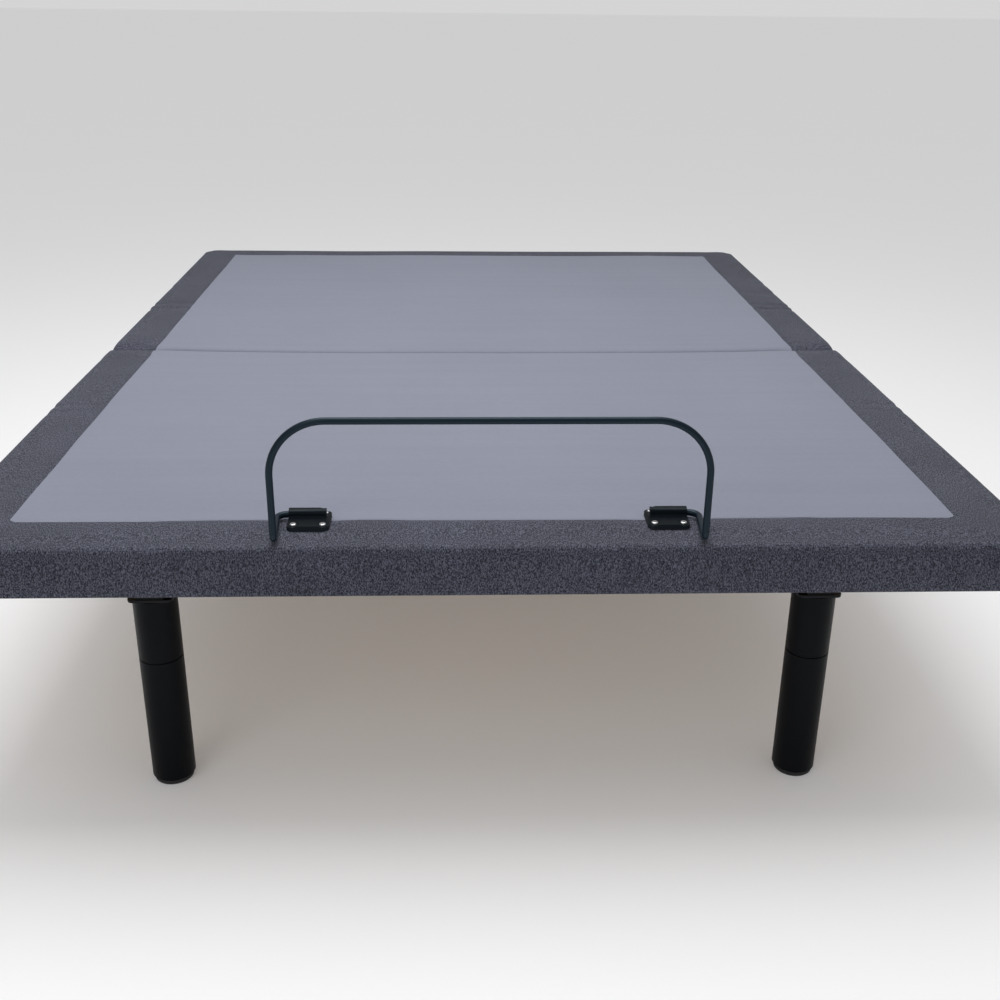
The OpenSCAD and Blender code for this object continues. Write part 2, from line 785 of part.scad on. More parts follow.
module actuator() {
    gearbox_end = gearbox_y + gearbox_l;
    half = outer_tube_d / 2;
    color("dimgray") difference() {
        union() {
            bar_x(-eye_w / 2, eye_w / 2, eye_h / 2);
            box(-eye_w / 2, eye_w / 2, 0, gearbox_y + 1, -eye_h / 2, eye_h / 2);
            box(-half - gearbox_side, motor_x + motor_d / 2 + motor_side, gearbox_y, gearbox_end,
                -gearbox_h / 2, gearbox_h / 2);
            bar_y(gearbox_end - 1, outer_tube_end, half);
            bar_y(outer_tube_end - collar_l, outer_tube_end, half + collar_t);
            translate([motor_x, 0, 0]) bar_y(gearbox_end - 1, gearbox_end + motor_l, motor_d / 2);
        }
        bar_x(-eye_w, eye_w, drive_pin_d / 2 + pin_clear);
        bar_y(rod_start - rod_spare, outer_tube_end + 1, rod_d / 2 + rod_clear);
    }
}

module actuator_rod(reach, swing) {
    window_h = drive_pin_d + lever_l * (1 - cos(swing)) + 2 * yoke_rise_clear;
    window_l = drive_pin_d + 2 * yoke_clear;
    yoke_y = reach - window_l / 2 - yoke_rim;
    color("silver") difference() {
        union() {
            bar_y(rod_start, yoke_y + 1, rod_d / 2);
            box(-yoke_t / 2, yoke_t / 2, yoke_y, reach + window_l / 2 + yoke_rim,
                -window_h / 2 - yoke_rim, window_h / 2 + yoke_rim);
        }
        box(-yoke_t, yoke_t, reach - window_l / 2, reach + window_l / 2, -window_h / 2, window_h / 2);
    }
}

module head_actuator() at_head_actuator() actuator();
module foot_actuator() at_foot_actuator() actuator();
module head_actuator_rod() at_head_actuator() actuator_rod(head_act_l, head_swing);
module foot_actuator_rod() at_foot_actuator() actuator_rod(foot_act_l, foot_swing);

module clevis_pin() {
    half = eye_w / 2 + clevis_gap + clevis_t;
    bar_x(-half - axle_head_t, half + axle_head_t, drive_pin_d / 2);
    for (x = [-half - axle_head_t, half]) bar_x(x, x + axle_head_t, drive_pin_d * 3 / 4);
}
module clevis_pins() {
    color("silver") {
        at_head_actuator() clevis_pin();
        at_foot_actuator() clevis_pin();
    }
}

// The control box hangs on the seat cross tube, with its sockets towards the head
module control_box() {
    y0 = seat_tube_y + tube_w / 2;
    color("black") difference() {
        translate([box_x, y0 + box_l / 2, rail_z - box_drop]) linear_extrude(box_h)
            union() {
                rounded_rect(box_w, box_l, box_r);
                translate([-box_w / 2, -box_l / 2]) square([box_w, 2 * box_r]);
            }
        for (x = [-1.5 : 1 : 1.5])
            translate([box_x + x * box_w / 5, y0 + box_l - port_in, rail_z - box_drop + box_h / 2])
                box(-port_w / 2, port_w / 2, 0, port_in + 1, -port_h / 2, port_h / 2);
    }
}

// ---------- mattress retainer ----------

// A quarter or part of a ring in the XY plane, from the +X axis
module rod_bend(r, angle) {
    rotate_extrude(angle = angle) translate([r, 0]) circle(retainer_d / 2);
}

// The right half of the retainer, from its upright's top to its end in the bracket
module retainer_side() {
    r = retainer_d / 2;
    top_z = deck_z + retainer_h;
    upright_top = top_z - retainer_corner_r;
    upright_foot = rod_z + retainer_foot_r;
    translate([retainer_x, upright_y, upright_foot]) {
        cylinder(h = upright_top - upright_foot, r = r);
        cylinder(h = 2 * retainer_bead, r = r + retainer_bead, center = true);
    }
    translate([retainer_x - retainer_corner_r, upright_y, upright_top])
        rotate([90, 0, 0]) rod_bend(retainer_corner_r, 90);
    translate([retainer_x, upright_y, rod_z]) rotate([0, 0, -retainer_slant]) {
        translate([0, retainer_foot_r, retainer_foot_r]) rotate([90, 0, 90]) rotate([0, 0, 180])
            rod_bend(retainer_foot_r, 90);
        bar_y(retainer_foot_r, run_l, r);
        translate([-retainer_turn_r, run_l, 0]) rod_bend(retainer_turn_r, 90 + retainer_slant);
    }
    turn_x = retainer_x + run_l * sin(retainer_slant) - retainer_turn_r * cos(retainer_slant);
    translate([0, rod_y, rod_z]) {
        bar_x(bracket_x - bracket_w / 4, turn_x, r);
        bar_x(turn_x - retainer_bead, turn_x + retainer_bead, r + retainer_bead);
    }
}

module retainer_bar() {
    half = retainer_x - retainer_corner_r;
    color("darkslategray") {
        translate([0, upright_y, deck_z + retainer_h]) bar_x(-half, half, retainer_d / 2);
        retainer_side();
        mirror([1, 0, 0]) retainer_side();
    }
}

module at_brackets() {
    for (s = [0, 1]) mirror([s, 0, 0]) translate([bracket_x, foot_y + bracket_in, deck_z]) children();
}

module bracket() {
    half = bracket_w / 2;
    difference() {
        union() {
            linear_extrude(bracket_t) rounded_rect(bracket_w, bracket_w, bracket_corner_r);
            intersection() {
                translate([0, bracket_rod_in, retainer_rod_z])
                    bar_x(bracket_ridge_in - half, half, bracket_ridge_r);
                box(-half, half, -half, half, EPS, retainer_rod_z + bracket_ridge_r);
            }
        }
        translate([0, bracket_rod_in, retainer_rod_z])
            bar_x(-half / 2 - 1, half + 1, retainer_d / 2 + pin_clear);
        for (p = screw_spots) translate([p[0] * screw_in, p[1] * screw_in, 0]) {
            translate([0, 0, -1]) cylinder(h = bracket_t + 2, r = screw_d / 2 + pin_clear);
            translate([0, 0, bracket_t])
                cylinder(h = 2 * bracket_ridge_r, r = screw_head_d / 2 + screw_head_gap);
        }
    }
}
module retainer_brackets() color("black") at_brackets() bracket();

module bracket_screws(h, d) {
    at_brackets() for (p = screw_spots)
        translate([p[0] * screw_in, p[1] * screw_in, -h]) cylinder(h = h, d = d);
}
module bracket_screw_holes() bracket_screws(pad_t + screw_bite + 1, screw_d + 2 * pin_clear);
module retainer_screws() {
    color("silver") {
        bracket_screws(pad_t + screw_bite, screw_d);
        translate([0, 0, bracket_t]) bracket_screws(bracket_t + 1, screw_d);
        translate([0, 0, bracket_t + screw_head_h]) bracket_screws(screw_head_h, screw_head_d);
    }
}

left_side_rail();
right_side_rail();
foot_cross_tube();
seat_cross_tube();
back_cross_tube();
head_cross_tube();
leg_plates();
foot_left_leg_upper();
foot_left_leg_lower();
foot_right_leg_upper();
foot_right_leg_lower();
seat_left_leg_upper();
seat_left_leg_lower();
seat_right_leg_upper();
seat_right_leg_lower();
head_left_leg_upper();
head_left_leg_lower();
head_right_leg_upper();
head_right_leg_lower();
leg_studs();
leg_glides();
seat_posts();
head_board();
seat_board();
thigh_board();
calf_board();
head_battens();
seat_battens();
thigh_battens();
calf_battens();
head_pad();
seat_pad();
thigh_pad();
calf_pad();
head_border();
seat_border();
thigh_border();
calf_border();
seat_hinge_pins();
knee_hinge_pins();
seat_hinge_plates();
head_hinge_plates();
thigh_hinge_plates();
calf_hinge_plates();
head_lift_arms();
foot_lift_arms();
head_lift_rollers();
foot_lift_rollers();
head_lift_shoes();
foot_lift_shoes();
lift_bearings();
head_actuator();
head_actuator_rod();
foot_actuator();
foot_actuator_rod();
clevis_pins();
control_box();
retainer_bar();
retainer_brackets();
retainer_screws();
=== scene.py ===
import math
import bmesh
import bpy
from mathutils import Matrix, Vector, noise


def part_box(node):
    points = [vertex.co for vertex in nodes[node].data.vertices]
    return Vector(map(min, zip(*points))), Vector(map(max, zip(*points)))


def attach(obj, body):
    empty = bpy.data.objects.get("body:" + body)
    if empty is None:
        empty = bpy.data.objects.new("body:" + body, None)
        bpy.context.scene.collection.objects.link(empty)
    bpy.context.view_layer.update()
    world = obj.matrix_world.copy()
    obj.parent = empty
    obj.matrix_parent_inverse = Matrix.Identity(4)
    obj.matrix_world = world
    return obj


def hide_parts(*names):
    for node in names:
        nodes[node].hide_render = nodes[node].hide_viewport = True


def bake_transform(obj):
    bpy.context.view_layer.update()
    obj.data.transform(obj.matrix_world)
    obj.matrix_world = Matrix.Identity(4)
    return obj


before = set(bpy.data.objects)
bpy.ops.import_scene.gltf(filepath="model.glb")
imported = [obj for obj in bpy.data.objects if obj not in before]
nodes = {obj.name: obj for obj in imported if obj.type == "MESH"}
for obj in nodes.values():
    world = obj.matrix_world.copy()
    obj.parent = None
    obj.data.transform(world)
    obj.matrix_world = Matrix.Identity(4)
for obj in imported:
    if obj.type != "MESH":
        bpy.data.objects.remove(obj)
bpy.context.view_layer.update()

# everything is in metres, +Y runs to the head end, +X to the right seen from the foot end
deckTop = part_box("seat_pad")[1].z
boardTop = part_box("seat_board")[1].z
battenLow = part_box("seat_battens")[0].z
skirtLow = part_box("head_border")[0].z
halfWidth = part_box("head_pad")[1].x
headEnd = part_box("head_pad")[1].y
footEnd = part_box("calf_pad")[0].y
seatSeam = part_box("seat_pad")[0].y
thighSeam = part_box("thigh_pad")[1].y
backHinge = (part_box("seat_pad")[1].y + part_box("head_pad")[0].y) / 2
kneeHinge = (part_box("thigh_pad")[0].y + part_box("calf_pad")[1].y) / 2


# lens and sensor in millimetres, turns in degrees, place in metres
cameraSet = {"lens": 42.59, "sensor": 36, "down": 22.865, "right": 2.319, "roll": 0.646,
             "place": (-0.0460, -2.4357, 1.1068)}


def makeCamera():
    bpy.ops.object.camera_add()
    camera = bpy.context.object
    camera.data.lens = cameraSet["lens"]
    camera.data.sensor_width = cameraSet["sensor"]
    turn = Matrix.Rotation(-math.radians(cameraSet["right"]), 4, "Z")
    turn = turn @ Matrix.Rotation(math.radians(90 - cameraSet["down"]), 4, "X")
    turn = turn @ Matrix.Rotation(math.radians(cameraSet["roll"]), 4, "Z")
    camera.matrix_world = Matrix.Translation(cameraSet["place"]) @ turn
    bpy.context.scene.camera = camera


makeCamera()
print("camera is in place")


# small helpers for modelling
def clearSelection():
    if bpy.context.mode != "OBJECT":
        bpy.ops.object.mode_set(mode="OBJECT")
    bpy.ops.object.select_all(action="DESELECT")


def selectOnly(piece):
    clearSelection()
    piece.select_set(True)
    bpy.context.view_layer.objects.active = piece


def settle(piece):  # the object goes to the origin, its place goes into the mesh
    selectOnly(piece)
    bpy.ops.object.transform_apply(location=True, rotation=True, scale=True)
    return piece


def newPiece(name):
    piece = bpy.context.object
    piece.name = name
    piece.data.name = name
    return settle(piece)


def block(name, low, high):
    clearSelection()
    low, high = Vector(low), Vector(high)
    bpy.ops.mesh.primitive_cube_add(size=1, location=(low + high) / 2, scale=high - low)
    return newPiece(name)


turns = {"X": (0, math.pi / 2, 0), "Y": (math.pi / 2, 0, 0), "Z": (0, 0, 0)}


def rod(name, middle, radius, length, along="Z", sides=32):
    clearSelection()
    bpy.ops.mesh.primitive_cylinder_add(vertices=sides, radius=radius, depth=length, location=middle,
                                        rotation=turns[along])
    return newPiece(name)


def edit(piece):
    selectOnly(piece)
    bpy.ops.object.mode_set(mode="EDIT")


def done():
    bpy.ops.object.mode_set(mode="OBJECT")


def pick(kind, passes):  # in edit mode: select the verts, edges or faces whose points pass
    bpy.ops.mesh.select_mode(type={"verts": "VERT", "edges": "EDGE", "faces": "FACE"}[kind])
    bpy.ops.mesh.select_all(action="DESELECT")
    mesh = bmesh.from_edit_mesh(bpy.context.edit_object.data)
    for item in getattr(mesh, kind):
        points = [item.co] if kind == "verts" else [v.co for v in item.verts]
        if passes(points):
            item.select_set(True)
    bmesh.update_edit_mesh(bpy.context.edit_object.data)


def roundEdges(piece, passes, size, segments=3, profile=0.5):
    edit(piece)
    pick("edges", passes)
    bpy.ops.mesh.bevel(offset=size, segments=segments, profile=profile, affect="EDGES")
    done()


def upright(points):  # a vertical edge
    return abs(points[0].x - points[1].x) < 1e-5 and abs(points[0].y - points[1].y) < 1e-5


def useModifier(piece, kind, **settings):
    selectOnly(piece)
    modifier = piece.modifiers.new(kind.lower(), kind)
    for name, value in settings.items():
        setattr(modifier, name, value)
    bpy.ops.object.modifier_apply(modifier=modifier.name)


def carve(piece, tool, operation="DIFFERENCE", keepTool=False):
    useModifier(piece, "BOOLEAN", operation=operation, object=tool, solver="EXACT")
    if not keepTool:
        bpy.data.objects.remove(tool)


def softEdges(piece, size, segments=2):  # a small bevel on every sharp edge
    useModifier(piece, "BEVEL", width=size, segments=segments, limit_method="ANGLE",
                angle_limit=math.radians(40), harden_normals=False)


def smooth(piece, degrees=35):
    selectOnly(piece)
    bpy.ops.object.shade_smooth_by_angle(angle=math.radians(degrees))


def copyTo(piece, name, move=(0, 0, 0), turn=0, mirror=False):
    twin = piece.copy()
    twin.data = piece.data.copy()
    bpy.context.collection.objects.link(twin)
    twin.name = twin.data.name = name
    twin.matrix_world = Matrix.Translation(move) @ Matrix.Rotation(turn, 4, "Z")
    if mirror:
        twin.scale.x = -1
    settle(twin)
    if mirror:
        edit(twin)
        bpy.ops.mesh.select_all(action="SELECT")
        bpy.ops.mesh.normals_make_consistent(inside=False)
        done()
    return twin


def joinAll(name, parts):
    clearSelection()
    for part in parts:
        part.select_set(True)
    bpy.context.view_layer.objects.active = parts[0]
    if len(parts) > 1:
        bpy.ops.object.join()
    piece = bpy.context.object
    piece.name = piece.data.name = name
    return piece


def finishPiece(piece, material, body=None, replaced=()):
    piece.data.materials.clear()
    piece.data.materials.append(material)
    if body:
        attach(piece, body)
    if replaced:
        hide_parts(*replaced)


# shader helpers
def put(tree, kind, inputs=None, **settings):  # adds a node; an input is a value or a socket to link
    node = tree.nodes.new(kind)
    for name, value in settings.items():
        setattr(node, name, value)
    for name, value in (inputs or {}).items():
        if isinstance(value, bpy.types.NodeSocket):
            tree.links.new(value, node.inputs[name])
        else:
            node.inputs[name].default_value = value
    return node


def maths(tree, operation, a, b=0.0):
    return put(tree, "ShaderNodeMath", {0: a, 1: b}, operation=operation).outputs[0]


def blendColours(tree, factor, a, b, kind="MIX"):
    return put(tree, "ShaderNodeMix", {0: factor, 6: a, 7: b}, data_type="RGBA", blend_type=kind).outputs[2]


def shaded(tree, colour, shade):  # the colour times a grey
    tone = put(tree, "ShaderNodeCombineXYZ", {0: shade, 1: shade, 2: shade}).outputs[0]
    return blendColours(tree, 1.0, colour, tone, "MULTIPLY")


def ramp(tree, value, stops):
    node = put(tree, "ShaderNodeValToRGB", {"Fac": value})
    while len(node.color_ramp.elements) < len(stops):
        node.color_ramp.elements.new(0.5)
    for element, (place, grey) in zip(node.color_ramp.elements, stops):
        element.position = place
        element.color = (grey, grey, grey, 1)
    return node.outputs["Color"]


def stretch(tree, vector, scale):
    return put(tree, "ShaderNodeMapping", {"Vector": vector, "Scale": scale}).outputs["Vector"]


def speckle(tree, vector, scale, detail=2.0, roughness=0.5):
    values = {"Vector": vector, "Scale": scale, "Detail": detail, "Roughness": roughness}
    return put(tree, "ShaderNodeTexNoise", values).outputs["Fac"]


def stripes(tree, vector, axis, scale, distortion=0.0):
    values = {"Vector": vector, "Scale": scale, "Distortion": distortion, "Detail": 1.0}
    return put(tree, "ShaderNodeTexWave", values, bands_direction=axis, wave_profile="SIN").outputs["Fac"]


def newGroup(name, inputs, outputs):
    group = bpy.data.node_groups.new(name, "ShaderNodeTree")
    kinds = {"vector": "NodeSocketVector", "value": "NodeSocketFloat", "colour": "NodeSocketColor"}
    for label, kind, default in inputs:
        socket = group.interface.new_socket(name=label, in_out="INPUT", socket_type=kinds[kind])
        if default is not None:
            socket.default_value = default
    for label, kind in outputs:
        group.interface.new_socket(name=label, in_out="OUTPUT", socket_type=kinds[kind])
    return group, group.nodes.new("NodeGroupInput").outputs, group.nodes.new("NodeGroupOutput").inputs


def useGroup(tree, group, inputs):
    return put(tree, "ShaderNodeGroup", inputs, node_tree=group).outputs


def makeMelangeGroup():  # two yarn colours in small upright flecks over a plain weave
    group, given, out = newGroup(
        "melange weave",
        [("Vector", "vector", None), ("Dark", "colour", (0, 0, 0, 1)), ("Light", "colour", (1, 1, 1, 1)),
         ("Flecks", "value", 260.0), ("Threads", "value", 110.0)],
        [("Color", "colour"), ("Height", "value"), ("Roughness", "value")])
    link = group.links.new
    long = stretch(group, given["Vector"], (1.0, 0.45, 0.55))
    fleck = speckle(group, long, given["Flecks"], 3.0, 0.62)
    mask = ramp(group, fleck, [(0.37, 0.0), (0.5, 0.36), (0.64, 1.0)])
    cloud = speckle(group, given["Vector"], 9.0, 2.0)
    shade = maths(group, "ADD", maths(group, "MULTIPLY", cloud, 0.5), 0.75)
    colour = blendColours(group, mask, given["Dark"], given["Light"])
    link(shaded(group, colour, shade), out["Color"])
    weave = maths(group, "ADD", stripes(group, given["Vector"], "X", given["Threads"], 0.4),
                  stripes(group, given["Vector"], "Y", given["Threads"], 0.4))
    weave = maths(group, "ADD", weave, stripes(group, given["Vector"], "Z", given["Threads"], 0.4))
    link(maths(group, "ADD", maths(group, "MULTIPLY", weave, 0.3), maths(group, "MULTIPLY", mask, 0.5)),
         out["Height"])
    link(maths(group, "ADD", maths(group, "MULTIPLY", fleck, 0.2), 0.8), out["Roughness"])
    return group


def makeKnitGroup():  # a close, smooth knit with faint rows
    group, given, out = newGroup(
        "smooth knit",
        [("Vector", "vector", None), ("Colour", "colour", (1, 1, 1, 1)), ("Rows", "value", 180.0)],
        [("Color", "colour"), ("Height", "value"), ("Roughness", "value")])
    link = group.links.new
    rows = stripes(group, given["Vector"], "Y", given["Rows"], 0.3)
    loops = stripes(group, given["Vector"], "X", given["Rows"], 0.3)
    yarn = speckle(group, stretch(group, given["Vector"], (0.25, 1.0, 1.0)), 420.0, 2.0)
    cloud = speckle(group, given["Vector"], 3.5, 3.0)
    banding = speckle(group, stretch(group, given["Vector"], (0.6, 14.0, 1.0)), 3.0, 2.0)
    shade = maths(group, "ADD", maths(group, "MULTIPLY", yarn, 0.16), maths(group, "MULTIPLY", cloud, 0.10))
    shade = maths(group, "ADD", shade, maths(group, "MULTIPLY", banding, 0.09))
    shade = maths(group, "ADD", shade, maths(group, "MULTIPLY", rows, 0.035))
    shade = maths(group, "ADD", shade, 0.81)
    link(shaded(group, given["Colour"], shade), out["Color"])
    knit = maths(group, "MULTIPLY", rows, loops)
    link(maths(group, "ADD", knit, maths(group, "MULTIPLY", yarn, 0.6)), out["Height"])
    link(maths(group, "ADD", maths(group, "MULTIPLY", yarn, 0.15), 0.78), out["Roughness"])
    return group


def makeGrainGroup():  # fine bumps of a coat or moulding, with a slow change of tone and gloss
    group, given, out = newGroup(
        "fine grain",
        [("Vector", "vector", None), ("Colour", "colour", (1, 1, 1, 1)), ("Size", "value", 900.0),
         ("Gloss", "value", 0.5), ("Patches", "value", 0.15)],
        [("Color", "colour"), ("Height", "value"), ("Roughness", "value")])
    link = group.links.new
    fine = speckle(group, given["Vector"], given["Size"], 2.0)
    broad = speckle(group, given["Vector"], 14.0, 4.0, 0.6)
    rub = ramp(group, speckle(group, given["Vector"], 55.0, 5.0, 0.7), [(0.5, 0.0), (0.75, 1.0)])
    shade = maths(group, "ADD", maths(group, "MULTIPLY", broad, 0.3), 0.85)
    link(shaded(group, given["Colour"], shade), out["Color"])
    link(fine, out["Height"])
    change = maths(group, "MULTIPLY", maths(group, "SUBTRACT", broad, 0.5), given["Patches"])
    rough = maths(group, "ADD", given["Gloss"], change)
    link(maths(group, "ADD", rough, maths(group, "MULTIPLY", rub, 0.06)), out["Roughness"])
    return group


def makeWoodGroup():  # long grain along X of the vector it is given
    group, given, out = newGroup(
        "wood grain",
        [("Vector", "vector", None), ("Light", "colour", (1, 1, 1, 1)), ("Dark", "colour", (0, 0, 0, 1)),
         ("Rings", "value", 9.0)],
        [("Color", "colour"), ("Height", "value"), ("Roughness", "value")])
    link = group.links.new
    long = stretch(group, given["Vector"], (0.06, 1.0, 1.0))
    figure = put(group, "ShaderNodeTexNoise", {"Vector": long, "Scale": given["Rings"], "Detail": 5.0,
                                               "Distortion": 0.9}).outputs["Fac"]
    lines = maths(group, "SINE", maths(group, "MULTIPLY", figure, 42.0))
    lines = maths(group, "ADD", maths(group, "MULTIPLY", lines, 0.5), 0.5)
    pores = speckle(group, stretch(group, given["Vector"], (0.05, 1.0, 1.0)), 700.0, 2.0)
    mask = maths(group, "ADD", maths(group, "MULTIPLY", lines, 0.5), maths(group, "MULTIPLY", pores, 0.45))
    link(blendColours(group, mask, given["Light"], given["Dark"]), out["Color"])
    link(mask, out["Height"])
    link(maths(group, "ADD", maths(group, "MULTIPLY", pores, 0.2), 0.5), out["Roughness"])
    return group


melangeGroup = makeMelangeGroup()
knitGroup = makeKnitGroup()
grainGroup = makeGrainGroup()
woodGroup = makeWoodGroup()


def newMaterial(name, constants):
    material = bpy.data.materials.new(name)
    material.use_nodes = True
    tree = material.node_tree
    shader = tree.nodes["Principled BSDF"]
    for socket, value in constants.items():
        shader.inputs[socket].default_value = value
    where = tree.nodes.new("ShaderNodeTexCoord").outputs["Object"]
    return material, tree, shader, where


def wire(tree, shader, effect, depth, strength=1.0):
    tree.links.new(effect["Color"], shader.inputs["Base Color"])
    tree.links.new(effect["Roughness"], shader.inputs["Roughness"])
    bump = put(tree, "ShaderNodeBump", {"Height": effect["Height"], "Strength": strength, "Distance": depth})
    tree.links.new(bump.outputs["Normal"], shader.inputs["Normal"])


def melangeCloth():
    look = {"dark": (0.012, 0.013, 0.022, 1), "light": (0.138, 0.145, 0.192, 1), "flecks": 660.0,
            "threads": 150.0, "depth": 0.0005}
    material, tree, shader, where = newMaterial("border melange", {"Specular IOR Level": 0.15,
                                                                  "Sheen Weight": 0.12,
                                                                  "Sheen Roughness": 0.5})
    effect = useGroup(tree, melangeGroup, {"Vector": where, "Dark": look["dark"], "Light": look["light"],
                                           "Flecks": look["flecks"], "Threads": look["threads"]})
    wire(tree, shader, effect, look["depth"])
    return material


def knitCloth():
    look = {"colour": (0.240, 0.254, 0.316, 1), "rows": 190.0, "depth": 0.00025}
    material, tree, shader, where = newMaterial("top knit", {"Specular IOR Level": 0.2,
                                                            "Sheen Weight": 0.08,
                                                            "Sheen Roughness": 0.4})
    effect = useGroup(tree, knitGroup, {"Vector": where, "Colour": look["colour"], "Rows": look["rows"]})
    wire(tree, shader, effect, look["depth"])
    return material


def coated(name, colour, gloss, size=900.0, depth=0.00008, patches=0.15, **constants):
    material, tree, shader, where = newMaterial(name, constants.get("shader", {}))
    effect = useGroup(tree, grainGroup, {"Vector": where, "Colour": (*colour, 1), "Size": size,
                                         "Gloss": gloss, "Patches": patches})
    wire(tree, shader, effect, depth)
    return material


def steel(name, colour, gloss, brushed=(1.0, 1.0, 40.0), depth=0.00003):
    material, tree, shader, where = newMaterial(name, {"Metallic": 1.0})
    effect = useGroup(tree, grainGroup, {"Vector": stretch(tree, where, brushed), "Colour": (*colour, 1),
                                         "Size": 60.0, "Gloss": gloss, "Patches": 0.2})
    wire(tree, shader, effect, depth)
    return material


def plywoodSheet():
    look = {"light": (0.62, 0.45, 0.28, 1), "dark": (0.44, 0.29, 0.16, 1), "ply": (0.30, 0.18, 0.09, 1),
            "plies": 13, "plyDark": 0.75, "rings": 5.0, "depth": 0.0001}
    material, tree, shader, where = newMaterial("birch plywood", {"Specular IOR Level": 0.3})
    effect = useGroup(tree, woodGroup, {"Vector": where, "Light": look["light"], "Dark": look["dark"],
                                        "Rings": look["rings"]})
    height = put(tree, "ShaderNodeSeparateXYZ", {0: where}).outputs["Z"]
    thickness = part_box("seat_board")[1].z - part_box("seat_board")[0].z
    layer = maths(tree, "MULTIPLY", maths(tree, "SUBTRACT", height, boardTop - thickness),
                  look["plies"] / thickness)
    odd = maths(tree, "GREATER_THAN", maths(tree, "MODULO", layer, 2.0), 1.0)
    colour = blendColours(tree, maths(tree, "MULTIPLY", odd, look["plyDark"]), effect["Color"], look["ply"])
    wire(tree, shader, effect, look["depth"])
    tree.links.new(colour, shader.inputs["Base Color"])
    return material


def pineBattens():
    look = {"light": (0.70, 0.52, 0.31, 1), "dark": (0.47, 0.29, 0.13, 1), "rings": 26.0, "batten": 0.031,
            "depth": 0.00015}
    material, tree, shader, where = newMaterial("planed pine", {"Specular IOR Level": 0.3})
    parts = put(tree, "ShaderNodeSeparateXYZ", {0: where}).outputs
    turned = put(tree, "ShaderNodeCombineXYZ", {0: parts["Y"], 1: parts["X"], 2: parts["Z"]}).outputs[0]
    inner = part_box("seat_battens")[1].x - look["batten"]  # the side battens run along Y, the others along X
    side = maths(tree, "GREATER_THAN", maths(tree, "ABSOLUTE", parts["X"]), inner)
    vector = put(tree, "ShaderNodeMix", {0: side, 4: where, 5: turned}, data_type="VECTOR").outputs[1]
    effect = useGroup(tree, woodGroup, {"Vector": vector, "Light": look["light"], "Dark": look["dark"],
                                        "Rings": look["rings"]})
    wire(tree, shader, effect, look["depth"])
    return material


finishes = {
    "frame_paint": coated("frame powder coat", (0.009, 0.010, 0.012), 0.5, 700.0, 0.00012,
                          shader={"Specular IOR Level": 0.15}),
    "leg_plastic": coated("leg moulding", (0.0022, 0.0032, 0.0048), 0.40, 1400.0, 0.00003, 0.1,
                          shader={"Specular IOR Level": 0.09}),
    "bright_steel": steel("bright steel", (0.62, 0.62, 0.63), 0.24),
    "zinc_steel": steel("zinc plate", (0.56, 0.57, 0.58), 0.40, (1.0, 1.0, 1.0), 0.00004),
    "glide_rubber": coated("glide rubber", (0.022, 0.022, 0.023), 0.75, 500.0, 0.0001),
    "plywood": plywoodSheet(),
    "pine": pineBattens(),
    "top_fabric": knitCloth(),
    "border_fabric": melangeCloth(),
    "gear_paint": coated("lift gear coat", (0.045, 0.046, 0.050), 0.45, 700.0, 0.00012),
    "nylon": coated("natural nylon", (0.72, 0.71, 0.66), 0.42, 300.0, 0.00004, 0.1,
                    shader={"Subsurface Weight": 0.1, "Subsurface Radius": (0.004, 0.004, 0.003)}),
    "actuator_plastic": coated("actuator moulding", (0.060, 0.060, 0.064), 0.55, 1500.0, 0.00012),
    "control_plastic": coated("control box moulding", (0.020, 0.020, 0.022), 0.5, 1500.0, 0.00012),
    "retainer_paint": coated("retainer coat", (0.0062, 0.0120, 0.0195), 0.34, 260.0, 0.00002, 0.08,
                             shader={"Specular IOR Level": 0.28, "Specular Tint": (0.6, 0.85, 1.0, 1)}),
    "bracket_plastic": coated("bracket moulding", (0.0020, 0.0034, 0.0055), 0.34, 1300.0, 0.00004, 0.1,
                              shader={"Specular IOR Level": 0.13, "Specular Tint": (0.7, 0.88, 1.0, 1)}),
    "screw_steel": steel("bright screw plate", (0.80, 0.80, 0.81), 0.16, (1.0, 1.0, 1.0), 0.00001),
}
for node in nodes.values():
    for place in node.material_slots:
        place.material = finishes[place.material.name.split(".")[0]]
print("materials are made")


# measures of the covers, in metres
coverShape = {
    "corner": 0.040,        # plan radius of the corners at the ends
    "edge": 0.011,          # size and squareness of the rounded edges
    "edgeSquare": 0.60,
    "seam": 0.016,          # size of the rounded edge at the middle seam, head side and foot side
    "seamFoot": 0.011,
    "skirt": 0.004,         # thickness of the skirts
    "start": 0.0015,        # how far the top starts below its height, before it swells
    "cap": 0.0026,          # how far the simulation may move a point
    "border": 0.100,        # width of the dark border on the top, along the sides and at the ends
    "borderEnd": 0.089,
    "panelCorner": 0.010,   # plan radius of the light panel's corners at the ends
    "cell": 0.024,          # size of the mesh, finer near the hinge and on the skirts
    "fineCell": 0.009,
    "fineReach": 0.07,
    "skirtCell": 0.013,
    "dip": 0.009,           # how far the middle of the seam sags
    "dipReach": 0.24,
    "fold": 0.009,          # how far the border drops into the middle seam, head side and foot side
    "foldFoot": 0.002,
    "foldWidth": 0.034,
    "groove": 0.0007,       # depth of the sewn line between the two cloths
    "waver": 0.0035,        # how far the sewn line wanders, and over what width the cloth follows it
    "lineReach": 0.055,
    "spread": 0.007,        # how much the light panel spreads on each side at the middle seam
    "spreadReach": 0.075,
    "uneven": 0.0011,       # slow unevenness of the top and of the skirts
    "unevenSkirt": 0.0007,
    "press": 0.03,          # how far round a bracket the cloth is pressed down
}
# stiffness of the cloth and pressure of the filling in the simulation
swellSet = {"quality": 5, "mass": 0.25, "tension_stiffness": 12, "compression_stiffness": 12,
            "bending_stiffness": 1.2, "use_pressure": True, "uniform_pressure_force": 4,
            "vertex_group_mass": "pins"}
swellFrames = 20
